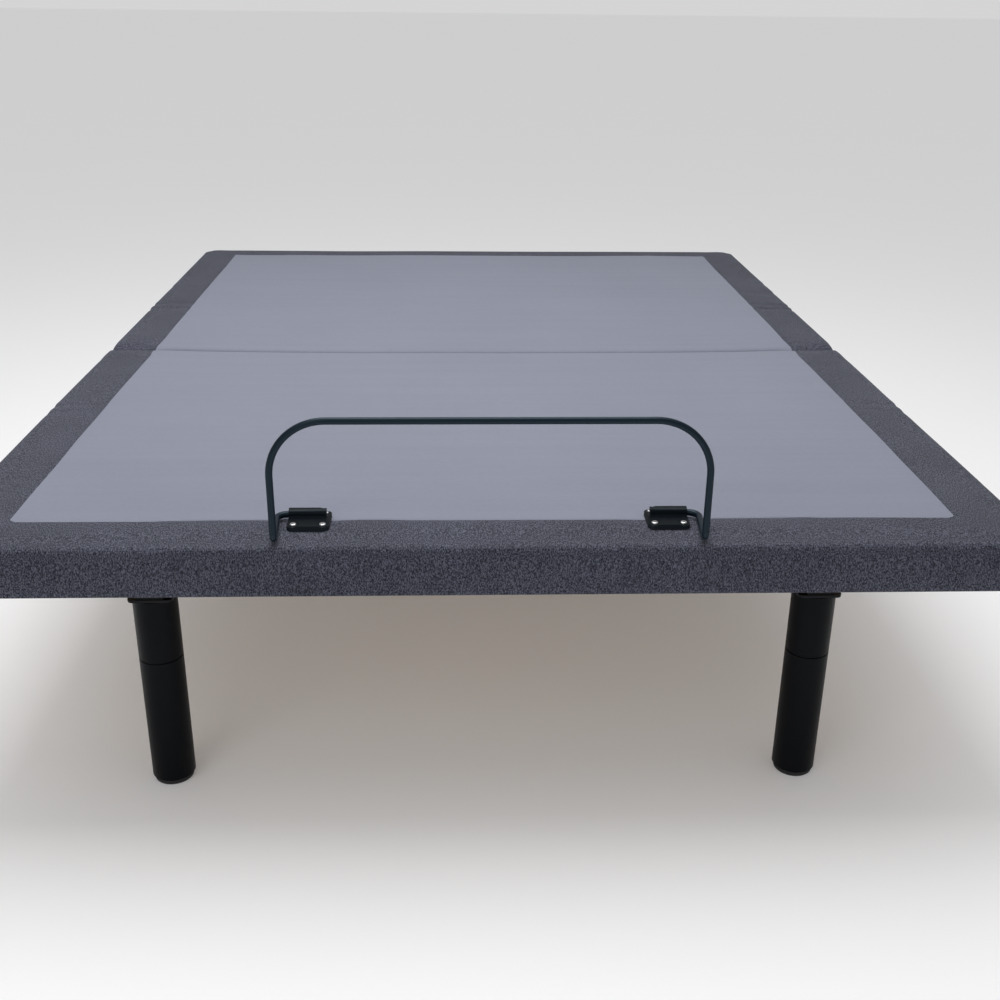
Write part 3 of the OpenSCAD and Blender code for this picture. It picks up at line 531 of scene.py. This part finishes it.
# creases in the border: station, slant, half width, depth, side of the bed (0 is both)
headCreases = [
    (backHinge - 0.012, 0.10, 0.0075, 0.0032, 0), (backHinge + 0.018, -0.14, 0.0085, 0.0026, 1),
    (backHinge + 0.030, -0.05, 0.0080, 0.0022, -1), (backHinge + 0.160, 0.20, 0.0100, 0.0020, 1),
    (backHinge + 0.215, 0.10, 0.0110, 0.0016, -1), (backHinge + 0.260, -0.12, 0.0100, 0.0016, 1),
]
footCreases = [
    (kneeHinge + 0.006, 0.06, 0.0085, 0.0016, 0), (kneeHinge - 0.034, -0.10, 0.0100, 0.0010, 0),
    (thighSeam - 0.070, 0.16, 0.0110, 0.0010, 1), (thighSeam - 0.085, -0.12, 0.0110, 0.0010, -1),
]
# where they start and reach full depth, how they lean on the skirt, and the bulge beside each
creaseSet = {"startIn": 0.012, "fullIn": 0.03, "lean": 0.25, "bulge": 0.45, "bulgeAway": 2.1,
             "bulgeWidth": 1.4, "faint": 0.25, "fullUp": 0.06}


def evenly(low, high, gap):  # places between low and high, about gap apart
    count = max(1, round((high - low) / gap))
    return [low + (high - low) * k / count for k in range(1, count)]


def sliceAcross(axis, places):  # in edit mode
    for place in places:
        point, normal = [0, 0, 0], [0, 0, 0]
        point[axis], normal[axis] = place, 1
        bpy.ops.mesh.select_all(action="SELECT")
        bpy.ops.mesh.bisect(plane_co=point, plane_no=normal)


def coverBlank(name, seam, end):
    shape = coverShape
    outward = 1 if end > seam else -1
    seamSize = shape["seam"] if end > seam else shape["seamFoot"]
    top = deckTop - shape["start"]
    cover = block(name, (-halfWidth, min(seam, end), skirtLow), (halfWidth, max(seam, end), top))

    roundEdges(cover, lambda points: upright(points) and abs(points[0].y - end) < 1e-4, shape["corner"], 8)
    edges = cover.data.edges
    weights = cover.data.attributes.new("bevel_weight_edge", "FLOAT", "EDGE")
    for edge in edges:
        points = [cover.data.vertices[k].co for k in edge.vertices]
        onTop = all(p.z > top - 1e-4 for p in points)
        onSeam = all(abs(p.y - seam) < 1e-4 for p in points)
        if onTop and onSeam:
            weights.data[edge.index].value = 1.0
        elif onTop or (onSeam and upright(points)):
            weights.data[edge.index].value = shape["edge"] / seamSize
    useModifier(cover, "BEVEL", width=seamSize, segments=6, profile=shape["edgeSquare"],
                limit_method="WEIGHT", use_clamp_overlap=False)
    inner = block("inner", (-halfWidth + shape["skirt"], min(seam, end) - 0.05, skirtLow - 0.05),
                  (halfWidth - shape["skirt"], max(seam, end) + 0.05, boardTop))
    edit(inner)  # the closed end stops short by the skirt's thickness
    pick("verts", lambda points: (points[0].y - (seam + end) / 2) * outward > 0)
    bpy.ops.transform.translate(value=(0, -outward * (0.05 + shape["skirt"]), 0))
    done()
    roundEdges(inner, lambda points: upright(points) and (points[0].y - seam) * outward > 0.1,
               shape["corner"] - shape["skirt"], 8)
    carve(cover, inner)
    return cover


def gridCover(cover, seam, end, fineAt):
    shape = coverShape
    line = halfWidth - shape["border"]
    lineEnd = end - math.copysign(shape["borderEnd"], end)
    margin = shape["edge"] + 0.004
    xs = evenly(-line + 0.004, line - 0.004, shape["cell"])
    for side in (-1, 1):
        xs += [side * (line + 0.004), side * (line - 0.004)]
        xs += [side * x for x in evenly(line + 0.004, halfWidth - margin, shape["fineCell"] * 2)]
        xs += [side * (halfWidth - margin)]
    low, high = min(seam, end), max(seam, end)
    fine = shape["fineReach"]
    marks = sorted([low + margin + 0.006, high - margin - 0.006, lineEnd - 0.004, lineEnd + 0.004,
                    fineAt - fine, fineAt + fine])
    ys = list(marks)
    for a, b in zip(marks, marks[1:]):
        near = abs((a + b) / 2 - fineAt) < fine
        ys += evenly(a, b, shape["fineCell"] if near else shape["cell"] * 0.8)
    edit(cover)
    sliceAcross(0, xs)
    sliceAcross(1, ys)
    sliceAcross(2, evenly(skirtLow, boardTop, shape["skirtCell"]))
    done()


def fade(distance, reach):  # 1 at 0, smoothly down to 0 at reach
    share = max(0.0, 1 - abs(distance) / reach)
    return share * share * (3 - 2 * share)


def heldInside(point):  # the ceiling over the boards, the skirts' inner faces and their hems
    inner = halfWidth - coverShape["skirt"] + 1e-4
    return point.z < boardTop + 1e-4 and (abs(point.x) < inner or point.z < skirtLow + 1e-4)


def swell(cover):  # cloth simulation: the filling pushes the outer cloth out a little
    points = cover.data.vertices
    rest = [p.co.copy() for p in points]
    pins = cover.vertex_groups.new(name="pins")
    pins.add([k for k, p in enumerate(rest) if heldInside(p)], 1.0, "REPLACE")
    selectOnly(cover)
    modifier = cover.modifiers.new("swell", "CLOTH")
    for name, value in swellSet.items():
        setattr(modifier.settings, name, value)
    modifier.settings.effector_weights.gravity = 0
    modifier.collision_settings.use_collision = False
    modifier.point_cache.frame_start = 1
    modifier.point_cache.frame_end = swellFrames
    for step in range(1, swellFrames + 1):
        bpy.context.scene.frame_set(step)
    selectOnly(cover)
    bpy.ops.object.modifier_apply(modifier=modifier.name)
    bpy.context.scene.frame_set(1)
    for point, start in zip(cover.data.vertices, rest):
        move = point.co - start
        if move.length > coverShape["cap"]:
            point.co = start + move * (coverShape["cap"] / move.length)
    cover.vertex_groups.clear()


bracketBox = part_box("retainer_brackets")
bracketMiddle = (bracketBox[0].y + bracketBox[1].y) / 2
bracketHalf = (bracketBox[1].y - bracketBox[0].y) / 2
bracketX = bracketBox[1].x - bracketHalf
bracketLow = bracketBox[0].z


def shapeCloth(cover, seam, creases):  # sag at the seam, creases, slow unevenness and the dents
    shape, fold = coverShape, creaseSet
    line = halfWidth - shape["border"]
    foldDepth = shape["fold"] if seam > thighSeam else shape["foldFoot"]
    cover.data.update()
    normals = [v.normal.copy() for v in cover.data.vertices]
    for point, normal in zip(cover.data.vertices, normals):
        p = point.co
        if heldInside(p):
            continue
        move = Vector()
        outerness = min(1.0, max(0.0, (abs(p.x) - line + fold["startIn"]) / fold["fullIn"]))
        for station, slant, width, depth, side in creases:
            if side and side * p.x < 0:
                continue
            away = p.y - station - slant * (abs(p.x) - halfWidth) - fold["lean"] * slant * (p.z - deckTop)
            bulge = math.exp(-((away - fold["bulgeAway"] * width) / (fold["bulgeWidth"] * width)) ** 2)
            crease = math.exp(-(away / width) ** 2)
            low = min(1.0, max(fold["faint"], (p.z - skirtLow) / fold["fullUp"]))
            move += normal * depth * outerness * low * (fold["bulge"] * bulge - crease)
        if p.z > boardTop:
            lift = (p.z - boardTop) / (deckTop - boardTop)
            across = max(0.0, 1 - abs(p.x / (line + 0.02)) ** 3)
            move.z -= shape["dip"] * across * fade(p.y - seam, shape["dipReach"]) * lift
            move.z -= foldDepth * outerness * fade(p.y - seam, shape["foldWidth"]) * lift
            move.z += shape["uneven"] * noise.noise(p * 4.0) * lift
            for side in (-1, 1):
                away = max(abs(p.x - side * bracketX), abs(p.y - bracketMiddle)) - bracketHalf
                press = fade(max(0.0, away), shape["press"])
                over = p.z + move.z - (bracketLow - 0.0006)
                if press > 0 and over > 0:
                    move.z -= over * press
        else:
            move += normal * shape["unevenSkirt"] * noise.noise(p * 9.0)
        point.co = p + move
    cover.data.update()


def splitCover(cover, name, seam, end):  # the light panel and the dark border, sewn edge to edge
    shape = coverShape
    line = halfWidth - shape["border"]
    lineEnd = end - math.copysign(shape["borderEnd"], end)
    beyond = seam - math.copysign(0.1, end)
    tool = block("panelCut", (-line, min(lineEnd, beyond), boardTop - 0.02),
                 (line, max(lineEnd, beyond), deckTop + 0.05))
    roundEdges(tool, lambda points: upright(points) and abs(points[0].y - lineEnd) < 1e-4,
               shape["panelCorner"], 4)
    panel = copyTo(cover, name + "Top")
    carve(panel, tool, "INTERSECT", keepTool=True)
    carve(cover, tool)
    cover.name = cover.data.name = name + "Border"
    for piece in (panel, cover):
        for point in piece.data.vertices:  # the sewn line is pulled down a little and wanders
            p = point.co.copy()
            near = min(abs(abs(p.x) - line), abs(p.y - lineEnd))
            onLine = near < 5e-4 and abs(p.x) < line + 5e-4 and (p.y - lineEnd) * end < 5e-4
            if onLine and p.z > boardTop + 0.012:
                point.co.z -= shape["groove"]
            sideways = fade(abs(p.x) - line, shape["lineReach"])
            spread = shape["spread"] * fade(p.y - seam, shape["spreadReach"])
            wander = 0.5 * shape["waver"] * noise.noise(Vector((p.y * 6, 3.1, end)))
            point.co.x += math.copysign(1, p.x) * sideways * (wander + spread)
            wander = shape["waver"] * noise.noise(Vector((p.x * 6, 7.7, end)))
            point.co.y += wander * fade(p.y - lineEnd, shape["lineReach"])
        smooth(piece, 50)
    return panel, cover


def makeCover(name, seam, end, fineAt, creases):
    cover = coverBlank(name, seam, end)
    gridCover(cover, seam, end, fineAt)
    swell(cover)
    shapeCloth(cover, seam, creases)
    useModifier(cover, "SUBSURF", levels=1, render_levels=1)
    panel, border = splitCover(cover, name, seam, end)
    print(name, "has", len(panel.data.polygons), "and", len(border.data.polygons), "faces")
    return panel, border


headTop, headBorder = makeCover("headCover", seatSeam, headEnd, backHinge, headCreases)
footTop, footBorder = makeCover("footCover", thighSeam, footEnd, kneeHinge, footCreases)
finishPiece(headTop, finishes["top_fabric"], replaced=("head_pad", "seat_pad"))
finishPiece(headBorder, finishes["border_fabric"], replaced=("head_border", "seat_border"))
finishPiece(footTop, finishes["top_fabric"], replaced=("thigh_pad", "calf_pad"))
finishPiece(footBorder, finishes["border_fabric"], replaced=("thigh_border", "calf_border"))
for piece in (headTop, headBorder):
    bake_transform(piece)
for piece in (footTop, footBorder):
    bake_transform(piece)
print("covers are made")


bracketShape = {
    "base": 0.0055,         # thickness of the flange and its corners
    "cornerRadius": 0.009,
    "rimIn": 0.0022,        # the raised part steps in and up
    "rimUp": 0.0009,
    "ridge": 0.0092,        # the ridge round the rod: its radius, place and open end
    "ridgeY": 0.013,
    "ridgeIn": 0.006,
    "rodHeight": 0.0075,
    "channel": 0.0049,      # the rod's hole: radius, length and middle
    "channelLength": 0.0600,
    "channelX": 0.0153,
    "pocket": 0.0075,       # radius of the screw pockets, how far out they are, and the spare hole
    "screwIn": 0.020,
    "spare": 0.0052,
    "spareOut": 0.0035,
    "drill": 0.04,          # length of the cutters, and how far above the flange they stop
    "drillUp": 0.0004,
    "sink": 0.0001,         # how far the screws are let in
    "edge": 0.0009,
}
screwShape = {"head": 0.0048, "rise": 0.0030, "dome": 0.0017, "slot": 0.0011, "slotLength": 0.0056,
              "slotDepth": 0.0013, "turn": 0.4}
screwSpots = [(-1, -1), (1, -1), (-1, 1)]


def makeBracket():  # round the right bracket's middle, its rod comes in from +X
    shape = bracketShape
    half = bracketHalf
    bracket = block("bracket", (-half, -half, 0), (half, half, shape["base"]))
    roundEdges(bracket, upright, shape["cornerRadius"], 6)
    edit(bracket)  # a raised rim steps in from the edge
    pick("faces", lambda points: all(p.z > shape["base"] - 1e-5 for p in points))
    bpy.ops.mesh.inset(thickness=shape["rimIn"], depth=0)
    bpy.ops.mesh.extrude_region_move(TRANSFORM_OT_translate={"value": (0, 0, shape["rimUp"])})
    done()
    ridge = rod("ridge", (shape["ridgeIn"] / 2, shape["ridgeY"], shape["rodHeight"]), shape["ridge"],
                2 * half - shape["ridgeIn"], "X", 40)
    foot = block("ridgeFoot", (-half + shape["ridgeIn"], shape["ridgeY"] - shape["ridge"], 0.001),
                 (half, shape["ridgeY"] + shape["ridge"], shape["rodHeight"]))
    under = block("under", (-0.1, -0.1, -0.1), (0.1, 0.1, 0))
    carve(bracket, ridge, "UNION")
    carve(bracket, foot, "UNION")
    carve(bracket, under)
    deep = shape["drill"]
    holeZ = shape["base"] + shape["drillUp"] + deep / 2
    for x, y in screwSpots:
        carve(bracket, rod("seat", (x * shape["screwIn"], y * shape["screwIn"], holeZ), shape["pocket"], deep,
                           "Z", 28))
    carve(bracket, rod("spare", (shape["screwIn"], shape["screwIn"] + shape["spareOut"], holeZ),
                       shape["spare"], deep, "Z", 24))
    carve(bracket, rod("channel", (shape["channelX"], shape["ridgeY"], shape["rodHeight"]), shape["channel"],
                       shape["channelLength"], "X", 32))
    softEdges(bracket, shape["edge"], 2)
    smooth(bracket)
    return bracket


def makeScrew():  # a domed head with a crossed recess, its underside at z 0
    shape = screwShape
    screw = rod("screw", (0, 0, shape["rise"] / 2), shape["head"], shape["rise"], "Z", 32)
    roundEdges(screw, lambda points: all(p.z > shape["rise"] - 1e-5 for p in points), shape["dome"], 5)
    for turn in (0, math.pi / 2):
        arm = block("arm", (-shape["slotLength"] / 2, -shape["slot"] / 2, shape["rise"] - shape["slotDepth"]),
                    (shape["slotLength"] / 2, shape["slot"] / 2, shape["rise"] + 0.002))
        tool = copyTo(arm, "slotTool", turn=turn + shape["turn"])
        bpy.data.objects.remove(arm)
        carve(screw, tool)
    smooth(screw)
    return screw


bracketBlank, screwBlank = makeBracket(), makeScrew()
brackets, screws = [], []
for side in (1, -1):
    middle = Vector((side * bracketX, bracketMiddle, bracketLow))
    brackets.append(copyTo(bracketBlank, "bracketCopy", middle, mirror=side < 0))
    for x, y in screwSpots:
        spot = middle + Vector((side * x * bracketShape["screwIn"], y * bracketShape["screwIn"],
                                bracketShape["base"] - bracketShape["sink"]))
        screws.append(copyTo(screwBlank, "screwCopy", spot, turn=side * x + y))
bpy.data.objects.remove(bracketBlank)
finishPiece(joinAll("retainerBrackets", brackets), finishes["bracket_plastic"],
            "calf_section", ("retainer_brackets",))
finishPiece(joinAll("retainerScrews", screws), finishes["screw_steel"], "calf_section",
            ("retainer_screws",))
print("retainer fittings are made")


hemShape = {
    "width": 0.024,         # of the turned cloth, its thickness, and its gap under the battens
    "thick": 0.0012,
    "lift": 0.0003,
    "in": 0.0005,           # how far it stays inside the battens' faces and ends
    "endIn": 0.003,
    "corner": 0.0355,
    "edge": 0.0004,
    "staple": 0.010,        # length and thickness of a staple, and the distance from one to the next
    "wire": 0.0009,
    "bite": 0.0004,
    "askew": 0.12,
    "gap": 0.055,
}


def stapleAt(x, y, turn, low):
    shape = hemShape
    staple = block("staple", (-shape["staple"] / 2, -shape["wire"] / 2, low - shape["wire"]),
                   (shape["staple"] / 2, shape["wire"] / 2, low + shape["bite"]))
    twin = copyTo(staple, "stapleCopy", (x, y, 0), turn)
    bpy.data.objects.remove(staple)
    return twin


def makeHem(name, node, body, endSide=0):  # along both sides, and round a closed end
    shape = hemShape
    low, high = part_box(node)
    top = low.z - shape["lift"]
    bottom = top - shape["thick"]
    x, width = high.x - shape["in"], shape["width"]
    y0, y1 = low.y + shape["endIn"], high.y - shape["endIn"]
    if endSide > 0:
        y1 = high.y - shape["in"]
    if endSide < 0:
        y0 = low.y + shape["in"]
    closed = y1 if endSide > 0 else y0
    hem = block(name + "Hem", (-x, y0, bottom), (x, y1, top))
    inner = block("inner", (width - x, y0 + (width if endSide < 0 else -0.05), bottom - 0.02),
                  (x - width, y1 - (width if endSide > 0 else -0.05), top + 0.02))
    if endSide:
        roundEdges(hem, lambda points: upright(points) and abs(points[0].y - closed) < 1e-4,
                   shape["corner"], 8)
        roundEdges(inner, lambda points: upright(points) and abs(points[0].y - closed) < width + 1e-3,
                   shape["corner"] - width, 6)
    carve(hem, inner)
    softEdges(hem, shape["edge"], 1)
    middle, gap = x - width / 2, shape["gap"]
    staples = []
    rows = (y0, y1 - shape["corner"]) if endSide >= 0 else (y0 + shape["corner"], y1)
    for side in (-1, 1):
        for y in evenly(rows[0] - gap / 2, rows[1] + gap / 2, gap):
            turn = math.pi / 2 + shape["askew"] * math.sin(60 * y)
            staples.append(stapleAt(side * middle, y, turn, bottom))
        if endSide:
            arc = (shape["corner"] - width / 2) / math.sqrt(2)
            staples.append(stapleAt(side * (x - shape["corner"] + arc),
                                    closed - endSide * (shape["corner"] - arc),
                                    -side * endSide * math.pi / 4, bottom))
    if endSide:
        reach = x - shape["corner"]
        for across in evenly(-reach - gap / 2, reach + gap / 2, gap):
            turn = shape["askew"] * math.sin(70 * across)
            staples.append(stapleAt(across, closed - endSide * width / 2, turn, bottom))
    finishPiece(hem, finishes["border_fabric"], body)
    finishPiece(joinAll(name + "Staples", staples), finishes["zinc_steel"], body)


makeHem("head", "head_battens", "head_section", 1)
makeHem("seat", "seat_battens", "base")
makeHem("thigh", "thigh_battens", "thigh_section")
makeHem("calf", "calf_battens", "calf_section", -1)
print("hems and staples are made")


def fixings(name, body, spots, size):  # domed screw heads: each has a place and the way it faces
    parts = []
    for place, facing in spots:
        twin = screwBlank.copy()
        twin.data = screwBlank.data.copy()
        bpy.context.collection.objects.link(twin)
        turn = Vector(facing).to_track_quat("Z", "Y").to_matrix().to_4x4()
        twin.matrix_world = Matrix.Translation(place) @ turn @ Matrix.Scale(size / screwShape["head"], 4)
        parts.append(settle(twin))
    finishPiece(joinAll(name, parts), finishes["zinc_steel"], body)


# places of the hinges, their screws' places about them, and the distance from the axis to a plate's face
hingeShape = {"xs": (-0.65, -0.2, 0.2, 0.65), "apart": 0.022, "rows": (0.011, 0.024), "face": 0.019,
              "screw": 0.0042}


def hingeScrews(name, body, rows):  # rows: hinge station and the side on which the plate lies
    shape = hingeShape
    spots = []
    for station, side in rows:
        for x in shape["xs"]:
            for dx in (-shape["apart"], shape["apart"]):
                for up in shape["rows"]:
                    place = (x + dx, station + side * shape["face"], battenLow + up)
                    spots.append((place, (0, -side, 0)))
    fixings(name, body, spots, shape["screw"])


seatHinge = (seatSeam + thighSeam) / 2
hingeScrews("seatHingeScrews", "base", [(seatHinge, 1), (backHinge, -1)])
hingeScrews("headHingeScrews", "head_section", [(backHinge, 1)])
hingeScrews("thighHingeScrews", "thigh_section", [(seatHinge, -1), (kneeHinge, 1)])
hingeScrews("calfHingeScrews", "calf_section", [(kneeHinge, -1)])


# x, y and z run from the rod's axis and the clevis; pairs are a low and a high end
actuatorShape = {
    "axis": 0.12,               # of the rod from the middle of the bed, and the clevis from the housing's end
    "clevis": 0.014,
    "bands": (0.0235, 0.0785),  # two raised bands round the gearbox
    "bandX": (-0.0292, 0.0832),
    "bandZ": 0.0292,
    "bandHalf": 0.002,
    "motorX": 0.054,            # cooling ribs round the motor
    "ribs": 9,
    "ribY": 0.108,
    "ribStep": 0.009,
    "rib": (0.0252, 0.0028),    # radius and length, here and below
    "capY": 0.2035,
    "cap": (0.0215, 0.003),
    "glandY": 0.2065,
    "gland": (0.006, 0.008),
    "collar": 0.020,            # ribs along the outer tube's collar
    "finY": 0.254,
    "fin": (0.0022, 0.014),
    "screwX": (-0.021, 0.075),
    "screwY": 0.0181,
    "screwZ": (-0.021, 0.021),
    "screw": 0.0036,
}


def dressActuator(name, node, way):  # way is +1 where the rod pushes to the head
    shape = actuatorShape
    low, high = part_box(node)
    axisZ = (low.z + high.z) / 2
    clevisY = low.y + shape["clevis"] if way > 0 else high.y - shape["clevis"]

    def at(x, y, z):  # from the actuator's own axes
        return Vector((way * shape["axis"] + way * x, clevisY + way * y, axisZ + z))

    def turned(label, place, size, sides):
        return rod(label, place, size[0], size[1], "Y", sides)

    parts = []
    for y in shape["bands"]:
        a = at(shape["bandX"][0], y - shape["bandHalf"], -shape["bandZ"])
        b = at(shape["bandX"][1], y + shape["bandHalf"], shape["bandZ"])
        band = block("band", [min(p) for p in zip(a, b)], [max(p) for p in zip(a, b)])
        softEdges(band, 0.001)
        parts.append(band)
    for k in range(shape["ribs"]):
        ring = turned("rib", at(shape["motorX"], shape["ribY"] + shape["ribStep"] * k, 0), shape["rib"], 40)
        softEdges(ring, 0.0006, 1)
        parts.append(ring)
    cap = turned("cap", at(shape["motorX"], shape["capY"], 0), shape["cap"], 40)
    softEdges(cap, 0.001)
    gland = turned("gland", at(shape["motorX"], shape["glandY"], 0), shape["gland"], 24)
    softEdges(gland, 0.0008)
    parts += [cap, gland]
    for turn in range(4):
        angle = turn * math.pi / 2 + math.pi / 4
        fin = at(shape["collar"] * math.cos(angle), shape["finY"], shape["collar"] * math.sin(angle))
        parts.append(turned("fin", fin, shape["fin"], 12))
    piece = joinAll(name + "Trim", parts)
    smooth(piece)
    finishPiece(piece, finishes["actuator_plastic"], "base")
    spots = [(at(x, shape["screwY"], z), (0, -way, 0)) for x in shape["screwX"] for z in shape["screwZ"]]
    fixings(name + "Screws", "base", spots, shape["screw"])


dressActuator("headActuator", "head_actuator", 1)
dressActuator("footActuator", "foot_actuator", -1)


lidShape = {
    "in": 0.004,            # inside the box's faces, how far the lid hangs below it and reaches into it
    "drop": 0.0016,
    "sink": 0.0004,
    "corner": 0.005,
    "edge": 0.0005,
    "ribIn": (0.03, 0.02),  # ribs: how far they stay from the lid's sides and ends
    "ribGap": 0.009,
    "ribHalf": 0.0014,
    "ribDrop": (0.0026, 0.0012),
    "screwIn": 0.013,
    "screwDrop": 0.0014,
    "screw": 0.0034,
}


def dressControlBox():
    shape = lidShape
    low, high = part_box("control_box")
    lid = block("controlLid", (low.x + shape["in"], low.y + shape["in"], low.z - shape["drop"]),
                (high.x - shape["in"], high.y - shape["in"], low.z + shape["sink"]))
    roundEdges(lid, upright, shape["corner"], 4)
    inX, inY = shape["ribIn"]
    ribs = []
    for y in evenly(low.y + inY, high.y - inY, shape["ribGap"]):
        ribs.append(block("lidRib", (low.x + inX, y - shape["ribHalf"], low.z - shape["ribDrop"][0]),
                          (high.x - inX, y + shape["ribHalf"], low.z - shape["ribDrop"][1])))
    lid = joinAll("controlBoxLid", [lid] + ribs)
    softEdges(lid, shape["edge"])
    smooth(lid)
    finishPiece(lid, finishes["control_plastic"], "base")
    spots = []
    for x in (low.x + shape["screwIn"], high.x - shape["screwIn"]):
        for y in (low.y + shape["screwIn"], high.y - shape["screwIn"]):
            spots.append(((x, y, low.z - shape["screwDrop"]), (0, 0, -1)))
    fixings("controlBoxScrews", "base", spots, shape["screw"])


dressControlBox()
bpy.data.objects.remove(screwBlank)
print("fixings are made")


lightSet = {
    "sky": 0.74,            # wide, soft light from above: strength, width and tilt in degrees
    "skyWidth": 75,
    "skyTilt": -12,
    "lamps": {              # place, the point it is aimed at, size and power
        "overhead": ((-0.15, -0.2, 2.5), (-0.15, -0.2, 0.4), 1.7, 34),
        "front": ((-1.6, -3.4, 2.6), (0, -0.6, 0.4), 2.0, 15),
    },
    "world": 0.315,         # the backdrop is shown paler than it lights
    "backdrop": 0.66,
}
floorSet = {"size": 240, "colour": (0.90, 0.90, 0.91, 1), "glow": 0.13}


def makeFloor():
    clearSelection()
    bpy.ops.mesh.primitive_plane_add(size=floorSet["size"])
    floor = bpy.context.object
    floor.name = "floor"
    material = newMaterial("pale floor", {"Base Color": floorSet["colour"], "Roughness": 0.9,
                                          "Specular IOR Level": 0.1, "Emission Color": (1, 1, 1, 1),
                                          "Emission Strength": floorSet["glow"]})[0]
    floor.data.materials.append(material)


def makeLamps():
    tilt = math.radians(lightSet["skyTilt"])
    bpy.ops.object.light_add(type="SUN", location=(0, 0, 5), rotation=(tilt, 0, 0))
    sky = bpy.context.object
    sky.name = "sky"
    sky.data.angle = math.radians(lightSet["skyWidth"])
    sky.data.energy = lightSet["sky"]
    for name, (place, aim, size, power) in lightSet["lamps"].items():
        bpy.ops.object.light_add(type="AREA", location=place)
        lamp = bpy.context.object
        lamp.name = name
        lamp.data.size = size
        lamp.data.energy = power
        lamp.rotation_euler = (Vector(aim) - Vector(place)).to_track_quat("-Z", "Y").to_euler()


def makeWorld():
    world = bpy.data.worlds.new("studio")
    world.use_nodes = True
    tree = world.node_tree
    seen = tree.nodes.new("ShaderNodeLightPath").outputs["Is Camera Ray"]
    extra = maths(tree, "MULTIPLY", seen, lightSet["backdrop"] - lightSet["world"])
    background = tree.nodes["Background"]
    background.inputs["Color"].default_value = (1, 1, 1, 1)
    tree.links.new(maths(tree, "ADD", extra, lightSet["world"]), background.inputs["Strength"])
    bpy.context.scene.world = world


makeFloor()
makeLamps()
makeWorld()
bpy.context.scene.view_settings.view_transform = "Standard"
print("floor and lights are in place")
